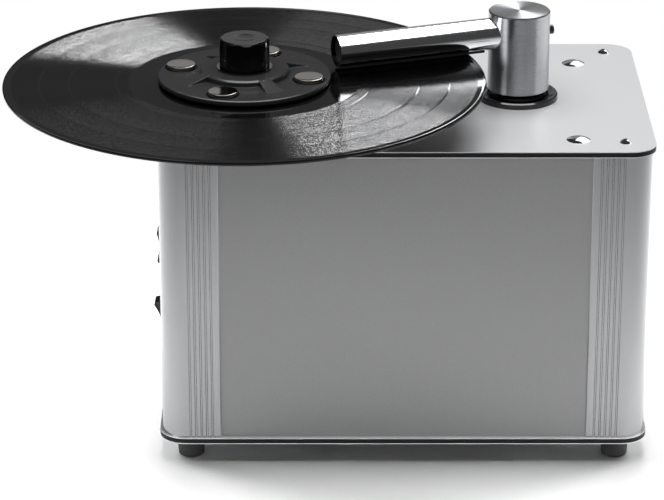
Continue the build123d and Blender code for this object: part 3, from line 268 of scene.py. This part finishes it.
def soft_box(name, place, target, size, power, *groups, roll=0):
    """Soft box aimed at a target for a few groups of pieces; size is its width and height.

    roll turns it about its aim, in degrees.
    """
    data = bpy.data.lights.new(name, "AREA")
    data.shape = "RECTANGLE"
    data.size, data.size_y = size
    data.energy = power
    lamp = bpy.data.objects.new(name, data)
    lamp.location = place
    aim = Vector(target) - Vector(place)
    facing = aim.to_track_quat("-Z", "Y") @ Quaternion((0, 0, 1), radians(roll))
    lamp.rotation_euler = facing.to_euler()
    bpy.context.scene.collection.objects.link(lamp)
    pieces = [piece for group in groups for piece in group]
    lamp.light_linking.receiver_collection = linked_set(name + "_on", pieces)
    return lamp


def visible(*starts):
    """Shown pieces and nodes whose names start with one of a few words."""
    shown = [piece for piece in bpy.data.objects if piece.type == "MESH" and not piece.hide_render]
    return [piece for piece in shown if piece.name.startswith(starts)]


def overhead(name, power, *groups):
    """Large soft box above the machine for a few groups of pieces."""
    below = (above[0], above[1], 0.0)
    soft_box(name, above, below, (3.0, 3.0), power, *groups)


def floor_light(name, place, target, width, power, floor, cabinet, opening=180):
    """Soft box for the floor alone, with the cabinet's shadow; opening is its cone in degrees."""
    lamp = soft_box(name, place, target, (width, width), power, [floor])
    lamp.data.spread = radians(opening)
    lamp.light_linking.blocker_collection = linked_set(name + "_shadows", cabinet)


def light_record():
    """Boxes for the record: two draw wedges across its grooves, the run-out mirrors the third."""
    record = visible("record")
    wedge_left = (-0.88, 1.585, 2.1)
    wedge_right = (0.445, 1.884, 1.88)
    soft_box("soft_box_record", wedge_right, record_middle, (0.23, 0.96), 92, record, roll=-37.6)
    soft_box("soft_box_rear_left", wedge_left, record_middle, (1.19, 1.69), 12, record, roll=-30.2)
    soft_box("soft_box_low_rear", low_behind, record_middle, (2.6, 1.4), 0.7, record)
    overhead("soft_box_over_record", 8, record)


def light_cabinet(cabinet, switches):
    """Boxes for the posts and panels."""
    right_corner = (1.4, -1.3, 0.45)
    soft_box("soft_box_front", (0.6, -2.2, 1.6), machine_middle, (1.2, 0.8), 8, cabinet, switches)
    soft_box("soft_box_corner", right_corner, machine_middle, (0.6, 0.6), 8, cabinet, switches)


def light_floor(floor, cabinet):
    """Boxes for the floor: under the machine, behind it, and one on either side."""
    far = (0.0, 0.95)
    under = (0.0, 0.06)
    floor_light("floor_light", (*under, 1.1), (*under, 0.0), 0.4, 2.8, floor, cabinet, 70)
    floor_light("floor_light_far", (*far, 1.3), (*far, 0.0), 1.0, 26, floor, cabinet)
    floor_light("floor_light_left", (-1.1, 0.7, 0.8), (-0.3, 0.0, 0.0), 0.6, 2.4, floor, cabinet, 60)
    floor_light("floor_light_right", (1.1, 0.7, 0.8), (0.3, 0.0, 0.0), 0.6, 2.0, floor, cabinet, 60)


def make_lights(floor):
    """Soft boxes round the machine, each kept to the pieces that it lights."""
    clamp = visible("clamp_disc", "clamp_seal")
    fittings = visible("clamp_knob", "clamp_washer", "clamp_magnets")
    head = visible("arm_head", "arm_lock")
    tube = visible("arm_tube", "arm_end", "arm_ring", "felt")
    deck = visible("top_plate", "countersunk_")
    bolts = visible("coach_bolts", "top_screws")
    cabinet = visible("post_", "bottom_", "feet", "front_", "right_", "left_", "rear_")
    switches = visible("motor_", "vacuum_", "switch_", "mains_", "inlet_", "drain_")
    light_record()
    soft_box("soft_box_rear", high_behind, machine_middle, (0.6, 1.2), 30, fittings, head, tube)
    bright = [*deck, *head, *tube, *fittings, *bolts]
    soft_box("soft_box_behind", low_behind, machine_middle, (2.6, 1.4), 4, bright)
    soft_box("soft_box_right", low_right, machine_middle, (2.4, 0.9), 26, head, tube, cabinet, bolts)
    soft_box("soft_box_left", low_left, machine_middle, (0.7, 1.1), 26, tube, cabinet, bolts)
    soft_box("soft_box_left_head", low_left, machine_middle, (0.7, 1.1), 24, head)
    soft_box("soft_box_bolts", (1.0, 1.4, 1.75), machine_middle, (2.0, 2.0), 30, bolts)
    light_cabinet(cabinet, switches)
    overhead("soft_box_over_deck", 115, deck)
    overhead("soft_box_over_clamp", 170, clamp)
    overhead("soft_box_over_tube", 240, tube)
    overhead("soft_box_over_rest", 40, cabinet, switches, fittings)
    light_floor(floor, cabinet)


# ---------------------------------------------------------------- materials
wall_lean = 2.3                     # slope of the groove walls for the whole range of the noise
wall_wander = 0.03                  # their turn along the groove
walls_level = 0.545                 # noise value of a wall that leans neither in nor out
# painted shade: the tube's bore is coloured near black inside this depth below its outer surface
painted_shade_depth = 0.8 * mm                # the tube is dark inside this depth


def blank(name, color, metallic, roughness, **sockets):
    """Material with its plain values set; detail is linked to it afterwards."""
    material = bpy.data.materials.new(name)
    material.use_nodes = True
    shader = material.node_tree.nodes["Principled BSDF"]
    shader.inputs["Base Color"].default_value = (*color, 1)
    shader.inputs["Metallic"].default_value = metallic
    shader.inputs["Roughness"].default_value = roughness
    for socket, value in sockets.items():
        shader.inputs[socket.replace("_", " ")].default_value = value
    return material, material.node_tree, shader


def rough_from(tree, shader, value):
    """Take the roughness from a value."""
    link(tree, value, shader.inputs["Roughness"])


def color_from(tree, shader, value):
    """Take the colour from a value."""
    link(tree, value, shader.inputs["Base Color"])


def dimmed(color, share):
    """Colour at a share of its brightness."""
    return [channel * share for channel in color]


def bump_from(tree, shader, height, strength, distance, edge=0):
    """Fine relief from a height value; edges catch light as if rounded by edge."""
    node = tree.nodes.new("ShaderNodeBump")
    node.inputs["Strength"].default_value = strength
    node.inputs["Distance"].default_value = distance
    link(tree, height, node.inputs["Height"])
    link(tree, node.outputs[0], shader.inputs["Normal"])
    if edge:
        rounding = tree.nodes.new("ShaderNodeBevel")
        rounding.samples = 4
        rounding.inputs["Radius"].default_value = edge
        link(tree, rounding.outputs[0], node.inputs["Normal"])


def satin_panel():
    """Bead-blasted aluminium sheet with a fine grain."""
    material, tree, shader = blank("satin_panel", (0.24, 0.24, 0.244), 0.8, 0.4)
    grain = noise(tree, stretched_place(tree), 2600, 1.0)
    tone = spread(tree, grain, 0.35, 0.65)
    color_from(tree, shader, blend_colors(tree, tone, (0.215, 0.215, 0.219), (0.265, 0.265, 0.269)))
    rough_from(tree, shader, spread(tree, grain, 0.3, 0.7, 0.35, 0.45))
    bump_from(tree, shader, grain, 0.12, 0.1 * mm)
    return material


def drawn_aluminium():
    """Anodised extrusion with faint lines along its length."""
    material, tree, shader = blank("drawn_aluminium", (0.34, 0.343, 0.35), 0.95, 0.24)
    lines = noise(tree, stretched_place(tree, (1, 1, 0.012)), 1800, 2.0)
    tone = spread(tree, lines, 0.3, 0.7)
    color_from(tree, shader, blend_colors(tree, tone, (0.33, 0.333, 0.34), (0.35, 0.353, 0.36)))
    rough_from(tree, shader, spread(tree, lines, 0.3, 0.7, 0.22, 0.26))
    bump_from(tree, shader, lines, 0.02, 0.02 * mm)
    return material


def plate_skin():
    """Pale anodised skin of the composite plates."""
    material, tree, shader = blank("plate_skin", (0.74, 0.745, 0.755), 0.6, 0.42)
    grain = noise(tree, stretched_place(tree), 1900, 1.0)
    tone = spread(tree, grain, 0.3, 0.7)
    rough_from(tree, shader, spread(tree, grain, 0.3, 0.7, 0.4, 0.5))
    color_from(tree, shader, blend_colors(tree, tone, (0.72, 0.725, 0.735), (0.77, 0.775, 0.785)))
    return material


def black_core():
    """Black polyethylene core of the composite plates, sawn at its edge."""
    dull = {"Specular_IOR_Level": 0.25}
    material, tree, shader = blank("black_core", (0.004, 0.004, 0.004), 0.0, 0.5, **dull)
    saw = noise(tree, stretched_place(tree, (0.2, 0.2, 1)), 3000, 1.0)
    rough_from(tree, shader, spread(tree, saw, 0.3, 0.7, 0.4, 0.6))
    return material


def grooved_vinyl():
    """Groove walls that lean in and out, so a lamp shows as a wedge across them."""
    sheen = {"Anisotropic": 1.0, "Specular_IOR_Level": 0.3}
    material, tree, shader = blank("grooved_vinyl", (0.002, 0.002, 0.0021), 0.0, 0.17, **sheen)
    across, radius = across_axis(tree, spindle)
    angle = angle_of(tree, across)
    outward = to_world(tree, vector_math(tree, "NORMALIZE", across))
    along = vector_math(tree, "CROSS_PRODUCT", outward, (0, 0, 1))
    link(tree, outward, shader.inputs["Tangent"])
    walls = value_math(tree, "SUBTRACT", arcs(tree, radius, angle, 14000, 40.0), walls_level)
    wander = value_math(tree, "SUBTRACT", arcs(tree, radius, angle, 900, 1.5), 0.5)
    lean = scaled_vector(tree, outward, value_math(tree, "MULTIPLY", walls, wall_lean))
    drift = scaled_vector(tree, along, value_math(tree, "MULTIPLY", wander, wall_wander))
    surface = tree.nodes.new("ShaderNodeNewGeometry").outputs["Normal"]
    tilted = vector_math(tree, "ADD", surface, vector_math(tree, "ADD", lean, drift))
    link(tree, vector_math(tree, "NORMALIZE", tilted), shader.inputs["Normal"])
    return material


def smooth_vinyl():
    """Glossy vinyl of the run-out, the track gaps and the rim, with a few cut lines."""
    material, tree, shader = blank("smooth_vinyl", (0.004, 0.004, 0.0042), 0.0, 0.07)
    across, radius = across_axis(tree, spindle)
    lines = arcs(tree, radius, angle_of(tree, across), 1400, 0.4, 1.0)
    bump_from(tree, shader, lines, 0.5, 0.04 * mm)
    return material


def plain_label():
    """Bare paper label with a fine fibre."""
    material, tree, shader = blank("plain_label", (0.03, 0.03, 0.032), 0.0, 0.6)
    fibre = noise(tree, stretched_place(tree, (1, 3, 1)), 1500, 3.0)
    tone = spread(tree, fibre, 0.3, 0.7)
    color_from(tree, shader, blend_colors(tree, tone, (0.026, 0.026, 0.028), (0.036, 0.036, 0.038)))
    bump_from(tree, shader, fibre, 0.2, 0.03 * mm)
    return material


def turned_metal(name, color, roughness, axis):
    """Metal turned on a lathe: fine rings on its ends and round its side."""
    material, tree, shader = blank(name, color, 1.0, roughness, Anisotropic=0.85)
    across, radius = across_axis(tree, axis)
    outward = vector_math(tree, "NORMALIZE", across)
    link(tree, vector_math(tree, "ADD", outward, (0, 0, 1)), shader.inputs["Tangent"])
    marks = noise(tree, stretched_place(tree, (0.02, 0.02, 1)), 5000, 2.0)
    rings = arcs(tree, radius, angle_of(tree, across), 6000, 1.0)
    both = value_math(tree, "ADD", marks, rings)
    rough_from(tree, shader, spread(tree, both, 0.6, 1.4, roughness * 0.85, roughness * 1.15))
    tone = spread(tree, both, 0.6, 1.4)
    color_from(tree, shader, blend_colors(tree, tone, dimmed(color, 0.9), dimmed(color, 1.1)))
    return material


def moulded(name, color, roughness, grain_size=0.4 * mm, relief=0.03 * mm, edge=0):
    """Moulded or machined plastic, or rubber, with a fine grain."""
    material, tree, shader = blank(name, color, 0.0, roughness)
    grain = noise(tree, stretched_place(tree), 1 / grain_size, 2.0)
    rough_from(tree, shader, spread(tree, grain, 0.3, 0.7, roughness - 0.06, roughness + 0.06))
    cloud = noise(tree, stretched_place(tree), 60, 2.0)
    color_from(tree, shader, blend_colors(tree, cloud, dimmed(color, 0.85), dimmed(color, 1.15)))
    bump_from(tree, shader, grain, 0.3, relief, edge)
    return material


def satin_black(name, color, roughness, edge):
    """Machined black plastic whose edges are broken."""
    return moulded(name, color, roughness, 0.3 * mm, 0.01 * mm, edge)


def bright_metal(name, color, roughness):
    """Plated or polished metal with faint wipe marks."""
    material, tree, shader = blank(name, color, 1.0, roughness)
    marks = noise(tree, stretched_place(tree), 900, 3.0)
    rough_from(tree, shader, spread(tree, marks, 0.3, 0.7, roughness * 0.85, roughness * 1.15))
    return material


def polished_tube_painted_bore():
    """Polished tube with painted shade in its bore, which is coloured near black."""
    outside = (0.75, 0.76, 0.78)
    # near-black colour painted into the bore as shade
    inside = (0.01, 0.01, 0.01)
    low, high = (corner[2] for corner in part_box("arm_tube"))
    material = bright_metal("tube_aluminium", outside, 0.1)
    tree = material.node_tree
    shader = tree.nodes["Principled BSDF"]
    centred = vector_math(tree, "SUBTRACT", object_place(tree), (*arm_axis, (low + high) / 2))
    across = vector_math(tree, "CROSS_PRODUCT", centred, (cos(arm_aim), sin(arm_aim), 0))
    bore = (high - low) / 2 - painted_shade_depth
    # mask of the outer skin; everything inside it gets the painted shade colour
    clear_of_painted_shade = value_math(tree, "GREATER_THAN", length_of(tree, across), bore)
    color_from(tree, shader, blend_colors(tree, clear_of_painted_shade, inside, outside))
    return material


def make_materials():
    """One material for each finish on the machine."""
    return {
        "plate_skin": plate_skin(),
        "plate_core": black_core(),
        "post_aluminium": drawn_aluminium(),
        "panel_aluminium": satin_panel(),
        "foot_rubber": moulded("foot_rubber", (0.015, 0.015, 0.015), 0.6),
        "screw_chrome": bright_metal("screw_chrome", (0.5, 0.51, 0.52), 0.08),
        "zinc_steel": bright_metal("zinc_steel", (0.55, 0.56, 0.57), 0.3),
        "shaft_steel": bright_metal("shaft_steel", (0.7, 0.7, 0.71), 0.15),
        "bronze": bright_metal("bronze", (0.62, 0.43, 0.2), 0.3),
        "gear_nylon": moulded("gear_nylon", (0.8, 0.79, 0.75), 0.45),
        "motor_steel": bright_metal("motor_steel", (0.45, 0.46, 0.48), 0.35),
        "platter_black": moulded("platter_black", (0.02, 0.02, 0.021), 0.4),
        "mat_rubber": moulded("mat_rubber", (0.02, 0.02, 0.02), 0.7),
        "vinyl": smooth_vinyl(),
        "grooved_vinyl": grooved_vinyl(),
        "plain_label": plain_label(),
        "clamp_black": satin_black("clamp_black", (0.017, 0.017, 0.018), 0.28, 0.8 * mm),
        "magnet_nickel": bright_metal("magnet_nickel", (0.36, 0.335, 0.31), 0.12),
        "washer_chrome": bright_metal("washer_chrome", (0.14, 0.14, 0.145), 0.15),
        "knob_black": satin_black("knob_black", (0.003, 0.003, 0.003), 0.2, 0.3 * mm),
        "head_aluminium": turned_metal("head_aluminium", (0.42, 0.427, 0.447), 0.3, arm_axis),
        "tube_aluminium": polished_tube_painted_bore(),
        "felt": moulded("felt", (0.012, 0.012, 0.012), 0.95),
        "arm_plastic": moulded("arm_plastic", (0.012, 0.012, 0.012), 0.4),
        "ring_gloss": moulded("ring_gloss", (0.008, 0.008, 0.009), 0.12),
        "tank_plastic": moulded("tank_plastic", (0.7, 0.71, 0.71), 0.4),
        "blower_plastic": moulded("blower_plastic", (0.05, 0.05, 0.055), 0.5),
        "switch_black": moulded("switch_black", (0.012, 0.012, 0.012), 0.35),
        "fitting_black": moulded("fitting_black", (0.02, 0.02, 0.02), 0.45),
        "board_green": moulded("board_green", (0.02, 0.12, 0.05), 0.4),
    }


def dress_nodes(finishes):
    """Give every CAD node the finish of its slot."""
    for row in frame["record"]["subparts"]:
        node = nodes[row["node"]]
        node.data.materials.clear()
        node.data.materials.append(finishes[row["material_slot"]])


# ---------------------------------------------------------------- modelling
def pick(pieces):
    """Select a few pieces alone and make the first one active."""
    bpy.ops.object.select_all(action="DESELECT")
    for piece in pieces:
        piece.select_set(True)
    bpy.context.view_layer.objects.active = pieces[0]


def add_named(name):
    """Put a new primitive's place into its mesh and name it."""
    piece = bpy.context.active_object
    piece.name = name
    piece.data.name = name
    bpy.ops.object.transform_apply(location=True, rotation=True, scale=True)
    return piece


def clean_up(piece):
    """Join seams, close holes and point the faces outwards."""
    bpy.ops.object.mode_set(mode="EDIT")
    bpy.ops.mesh.select_all(action="SELECT")
    bpy.ops.mesh.remove_doubles(threshold=0.001 * mm)
    bpy.ops.mesh.fill_holes(sides=0)
    bpy.ops.mesh.normals_make_consistent(inside=False)
    bpy.ops.mesh.select_all(action="DESELECT")
    bpy.ops.object.mode_set(mode="OBJECT")
    return piece


def turned(name, axis, outline, steps):
    """Piece turned round an upright axis, ring by ring along its outline of (radius, height)."""
    radius, height = outline[0]
    bpy.ops.object.select_all(action="DESELECT")
    bpy.ops.mesh.primitive_circle_add(vertices=steps, radius=radius, location=(*axis, height))
    piece = add_named(name)
    bpy.ops.object.mode_set(mode="EDIT")
    bpy.ops.mesh.select_mode(type="EDGE")
    bpy.ops.mesh.select_all(action="SELECT")
    for next_radius, next_height in outline[1:]:
        bpy.ops.mesh.extrude_edges_move(TRANSFORM_OT_translate={"value": (0, 0, next_height - height)})
        if next_radius == 0:
            bpy.ops.mesh.merge(type="CENTER")
            break
        ratio = next_radius / radius
        bpy.ops.transform.resize(value=(ratio, ratio, 1), center_override=(*axis, next_height))
        radius, height = next_radius, next_height
    bpy.ops.object.mode_set(mode="OBJECT")
    return clean_up(piece)


def select_faces(piece, rule):
    """In edit mode, select the faces whose middle fits a rule."""
    bpy.ops.object.mode_set(mode="EDIT")
    bpy.ops.mesh.select_mode(type="FACE")
    bpy.ops.mesh.select_all(action="DESELECT")
    bpy.ops.object.mode_set(mode="OBJECT")
    for face in piece.data.polygons:
        face.select = rule(face.center)
    bpy.ops.object.mode_set(mode="EDIT")


def finish_faces(piece, slot, rule):
    """Give the faces that fit a rule their own finish."""
    piece.data.materials.append(finishes[slot])
    select_faces(piece, rule)
    piece.active_material_index = len(piece.data.materials) - 1
    bpy.ops.object.material_slot_assign()
    bpy.ops.mesh.select_all(action="DESELECT")
    bpy.ops.object.mode_set(mode="OBJECT")


def smooth(piece, angle):
    """Smooth shading across edges flatter than an angle in degrees."""
    pick([piece])
    bpy.ops.object.shade_smooth_by_angle(angle=radians(angle))


def put_on(piece, body, slot, *stands_for, angle=35):
    """Let a finished piece ride on its body in place of its nodes."""
    smooth(piece, angle)
    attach(piece, body)
    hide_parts(*stands_for)


# ---------------------------------------------------------------- record
record_r = 150.75 * mm
record_hole_r = 3.6 * mm
label_r = 50.0 * mm
lip_w = 0.4 * mm                    # step down from the label to the grooves
lip_drop = 0.1 * mm
slope_w = 1.2 * mm
runout_r = 72.6 * mm
grooves_r = 145.4 * mm
bead_w = 2.4 * mm
groove_drop = 0.2 * mm
bead_steps = [(0.8, 0.12 * mm), (0.6, 0.03 * mm), (0.4, 0)]   # share of the bead's width, drop
rim_round = 0.8 * mm
gap_drop = 0.015 * mm
gap_w = 0.9 * mm
track_gaps = [80.5 * mm, 109.5 * mm, 128.0 * mm]


def in_ring(point, inner, outer):
    """Whether a point lies between two radii of the record."""
    reach = Vector((point[0] - spindle[0], point[1] - spindle[1])).length
    return inner < reach < outer


def in_gap(point):
    """Whether a point lies in a track gap."""
    return any(in_ring(point, gap - gap_w / 2, gap + gap_w / 2) for gap in track_gaps)


def on_label(point):
    """Whether a point lies on the label."""
    return in_ring(point, record_hole_r, label_r)


def in_grooves(point):
    """Whether a point lies in the grooves."""
    return in_ring(point, runout_r, grooves_r) and not in_gap(point)


def record_face(top, way):
    """Outline of one face from the hole to the rim; way is 1 for the upper face, -1 for the lower."""
    field = top - way * groove_drop
    face = [(record_hole_r, top), (label_r, top), (label_r + lip_w, top - way * lip_drop)]
    face += [(label_r + slope_w, field), (runout_r, field)]
    for gap in track_gaps:
        face += [(gap - gap_w / 2, field), (gap - gap_w / 4, field - way * gap_drop)]
        face += [(gap + gap_w / 4, field - way * gap_drop), (gap + gap_w / 2, field)]
    face += [(grooves_r, field), (record_r - bead_w, field)]
    for share, drop in bead_steps:
        face.append((record_r - bead_w * share, top - way * drop))
    for step in range(1, 7):
        turn = step * pi / 12
        face.append((record_r - rim_round * (1 - sin(turn)), top - way * rim_round * (1 - cos(turn))))
    return face


def make_record():
    """Black record with its label, run-out, grooves, track gaps and raised rim."""
    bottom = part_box("record")[0][2]
    upper = record_face(record_top, 1)
    lower = record_face(bottom, -1)
    disc = turned("record_disc", spindle, lower + upper[::-1] + lower[:1], 360)
    disc.data.materials.append(finishes["vinyl"])
    finish_faces(disc, "plain_label", on_label)
    finish_faces(disc, "grooved_vinyl", in_grooves)
    put_on(disc, "clamp", "vinyl", "record", angle=8)


# ---------------------------------------------------------------- clamp magnets
magnet_pitch_r = 42.0 * mm
magnet_angle = radians(73)
magnet_r = 9.1 * mm
magnet_edge = 0.5 * mm
magnet_dish = 0.06 * mm
dish_lip_r = magnet_r - 1.8 * magnet_edge
dish_r = magnet_r - 2.2 * magnet_edge


def make_magnets():
    """Four nickel-plated magnets: rolled edge, faint dish, copied round the knob."""
    low, high = (corner[2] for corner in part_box("clamp_magnets"))
    east = magnet_pitch_r * cos(magnet_angle)
    north = magnet_pitch_r * sin(magnet_angle)
    place = (spindle[0] + east, spindle[1] + north)
    outline = [(magnet_r - magnet_edge, low), (magnet_r, low + magnet_edge)]
    for step in range(5):
        turn = step * pi / 8
        outline.append((magnet_r - magnet_edge * (1 - cos(turn)), high - magnet_edge * (1 - sin(turn))))
    outline += [(dish_lip_r, high), (dish_r, high - magnet_dish)]
    outline += [(magnet_r / 2, high - magnet_dish), (0, high - magnet_dish)]
    magnets = [turned("clamp_magnets_bright", place, outline, 72)]
    for quarter in range(1, 4):
        turn = quarter * pi / 2
        pick(magnets[:1])
        bpy.ops.object.duplicate(linked=False)
        bpy.ops.transform.rotate(value=turn, orient_axis="Z", center_override=(*spindle, high))
        bpy.ops.object.transform_apply(location=True, rotation=True, scale=True)
        magnets.append(bpy.context.active_object)
    pick(magnets)
    bpy.ops.object.join()
    magnets[0].data.materials.append(finishes["magnet_nickel"])
    put_on(magnets[0], "clamp", "magnet_nickel", "clamp_magnets")


# ---------------------------------------------------------------- felt
felt_near = 25.0 * mm               # from the arm's axis
felt_far = 124.3 * mm
slit_half = 1.5 * mm
felt_w = 2.0 * mm
felt_h = 2.2 * mm
felt_edge = 0.35 * mm
felt_nap = 0.12 * mm
nap_size = 0.6 * mm
felt_cuts = 7


def felt_strip(side):
    """One strip beside the slit, with soft edges and a fine nap."""
    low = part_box("felt_lips")[0][2]
    length = felt_far - felt_near
    along = (felt_near + felt_far) / 2
    across = side * (slit_half + felt_w / 2)
    bpy.ops.object.select_all(action="DESELECT")
    bpy.ops.mesh.primitive_cube_add(size=1.0, location=(along, across, low + felt_h / 2 + felt_nap))
    bpy.ops.transform.resize(value=(length, felt_w, felt_h))
    strip = add_named("felt_strip")
    bpy.ops.object.mode_set(mode="EDIT")
    bpy.ops.mesh.select_all(action="SELECT")
    bpy.ops.mesh.bevel(offset=felt_edge, segments=3, affect="EDGES")
    bpy.ops.mesh.select_all(action="SELECT")
    for cut in range(felt_cuts):
        reach = felt_near + length * (cut + 1) / (felt_cuts + 1)
        bpy.ops.mesh.bisect(plane_co=(reach, 0, 0), plane_no=(1, 0, 0))
        bpy.ops.mesh.select_all(action="SELECT")
    bpy.ops.mesh.subdivide(number_cuts=3)
    bpy.ops.object.mode_set(mode="OBJECT")
    nap = bpy.data.textures.new("felt_nap", "CLOUDS")
    nap.noise_scale = nap_size
    fuzz = strip.modifiers.new("nap", "DISPLACE")
    fuzz.texture = nap
    fuzz.strength = felt_nap
    fuzz.mid_level = 0.5
    bpy.ops.object.modifier_apply(modifier=fuzz.name)
    return strip


def make_felt():
    """Both felt strips, turned to the tube and carried to the arm's axis."""
    strips = [felt_strip(-1), felt_strip(1)]
    pick(strips)
    bpy.ops.object.join()
    felt = strips[0]
    felt.name = "felt_strips"
    felt.rotation_euler = (0, 0, arm_aim)
    felt.location = (*arm_axis, 0)
    bpy.ops.object.transform_apply(location=True, rotation=True, scale=True)
    clean_up(felt)
    felt.data.materials.append(finishes["felt"])
    put_on(felt, "arm", "felt", "felt_lips", angle=60)


# ---------------------------------------------------------------- scene
make_camera()
make_world()
finishes = make_materials()
dress_nodes(finishes)
make_record()
make_magnets()
make_felt()
floor = make_floor()
make_lights(floor)

scene = bpy.context.scene
scene.view_settings.view_transform = "Standard"
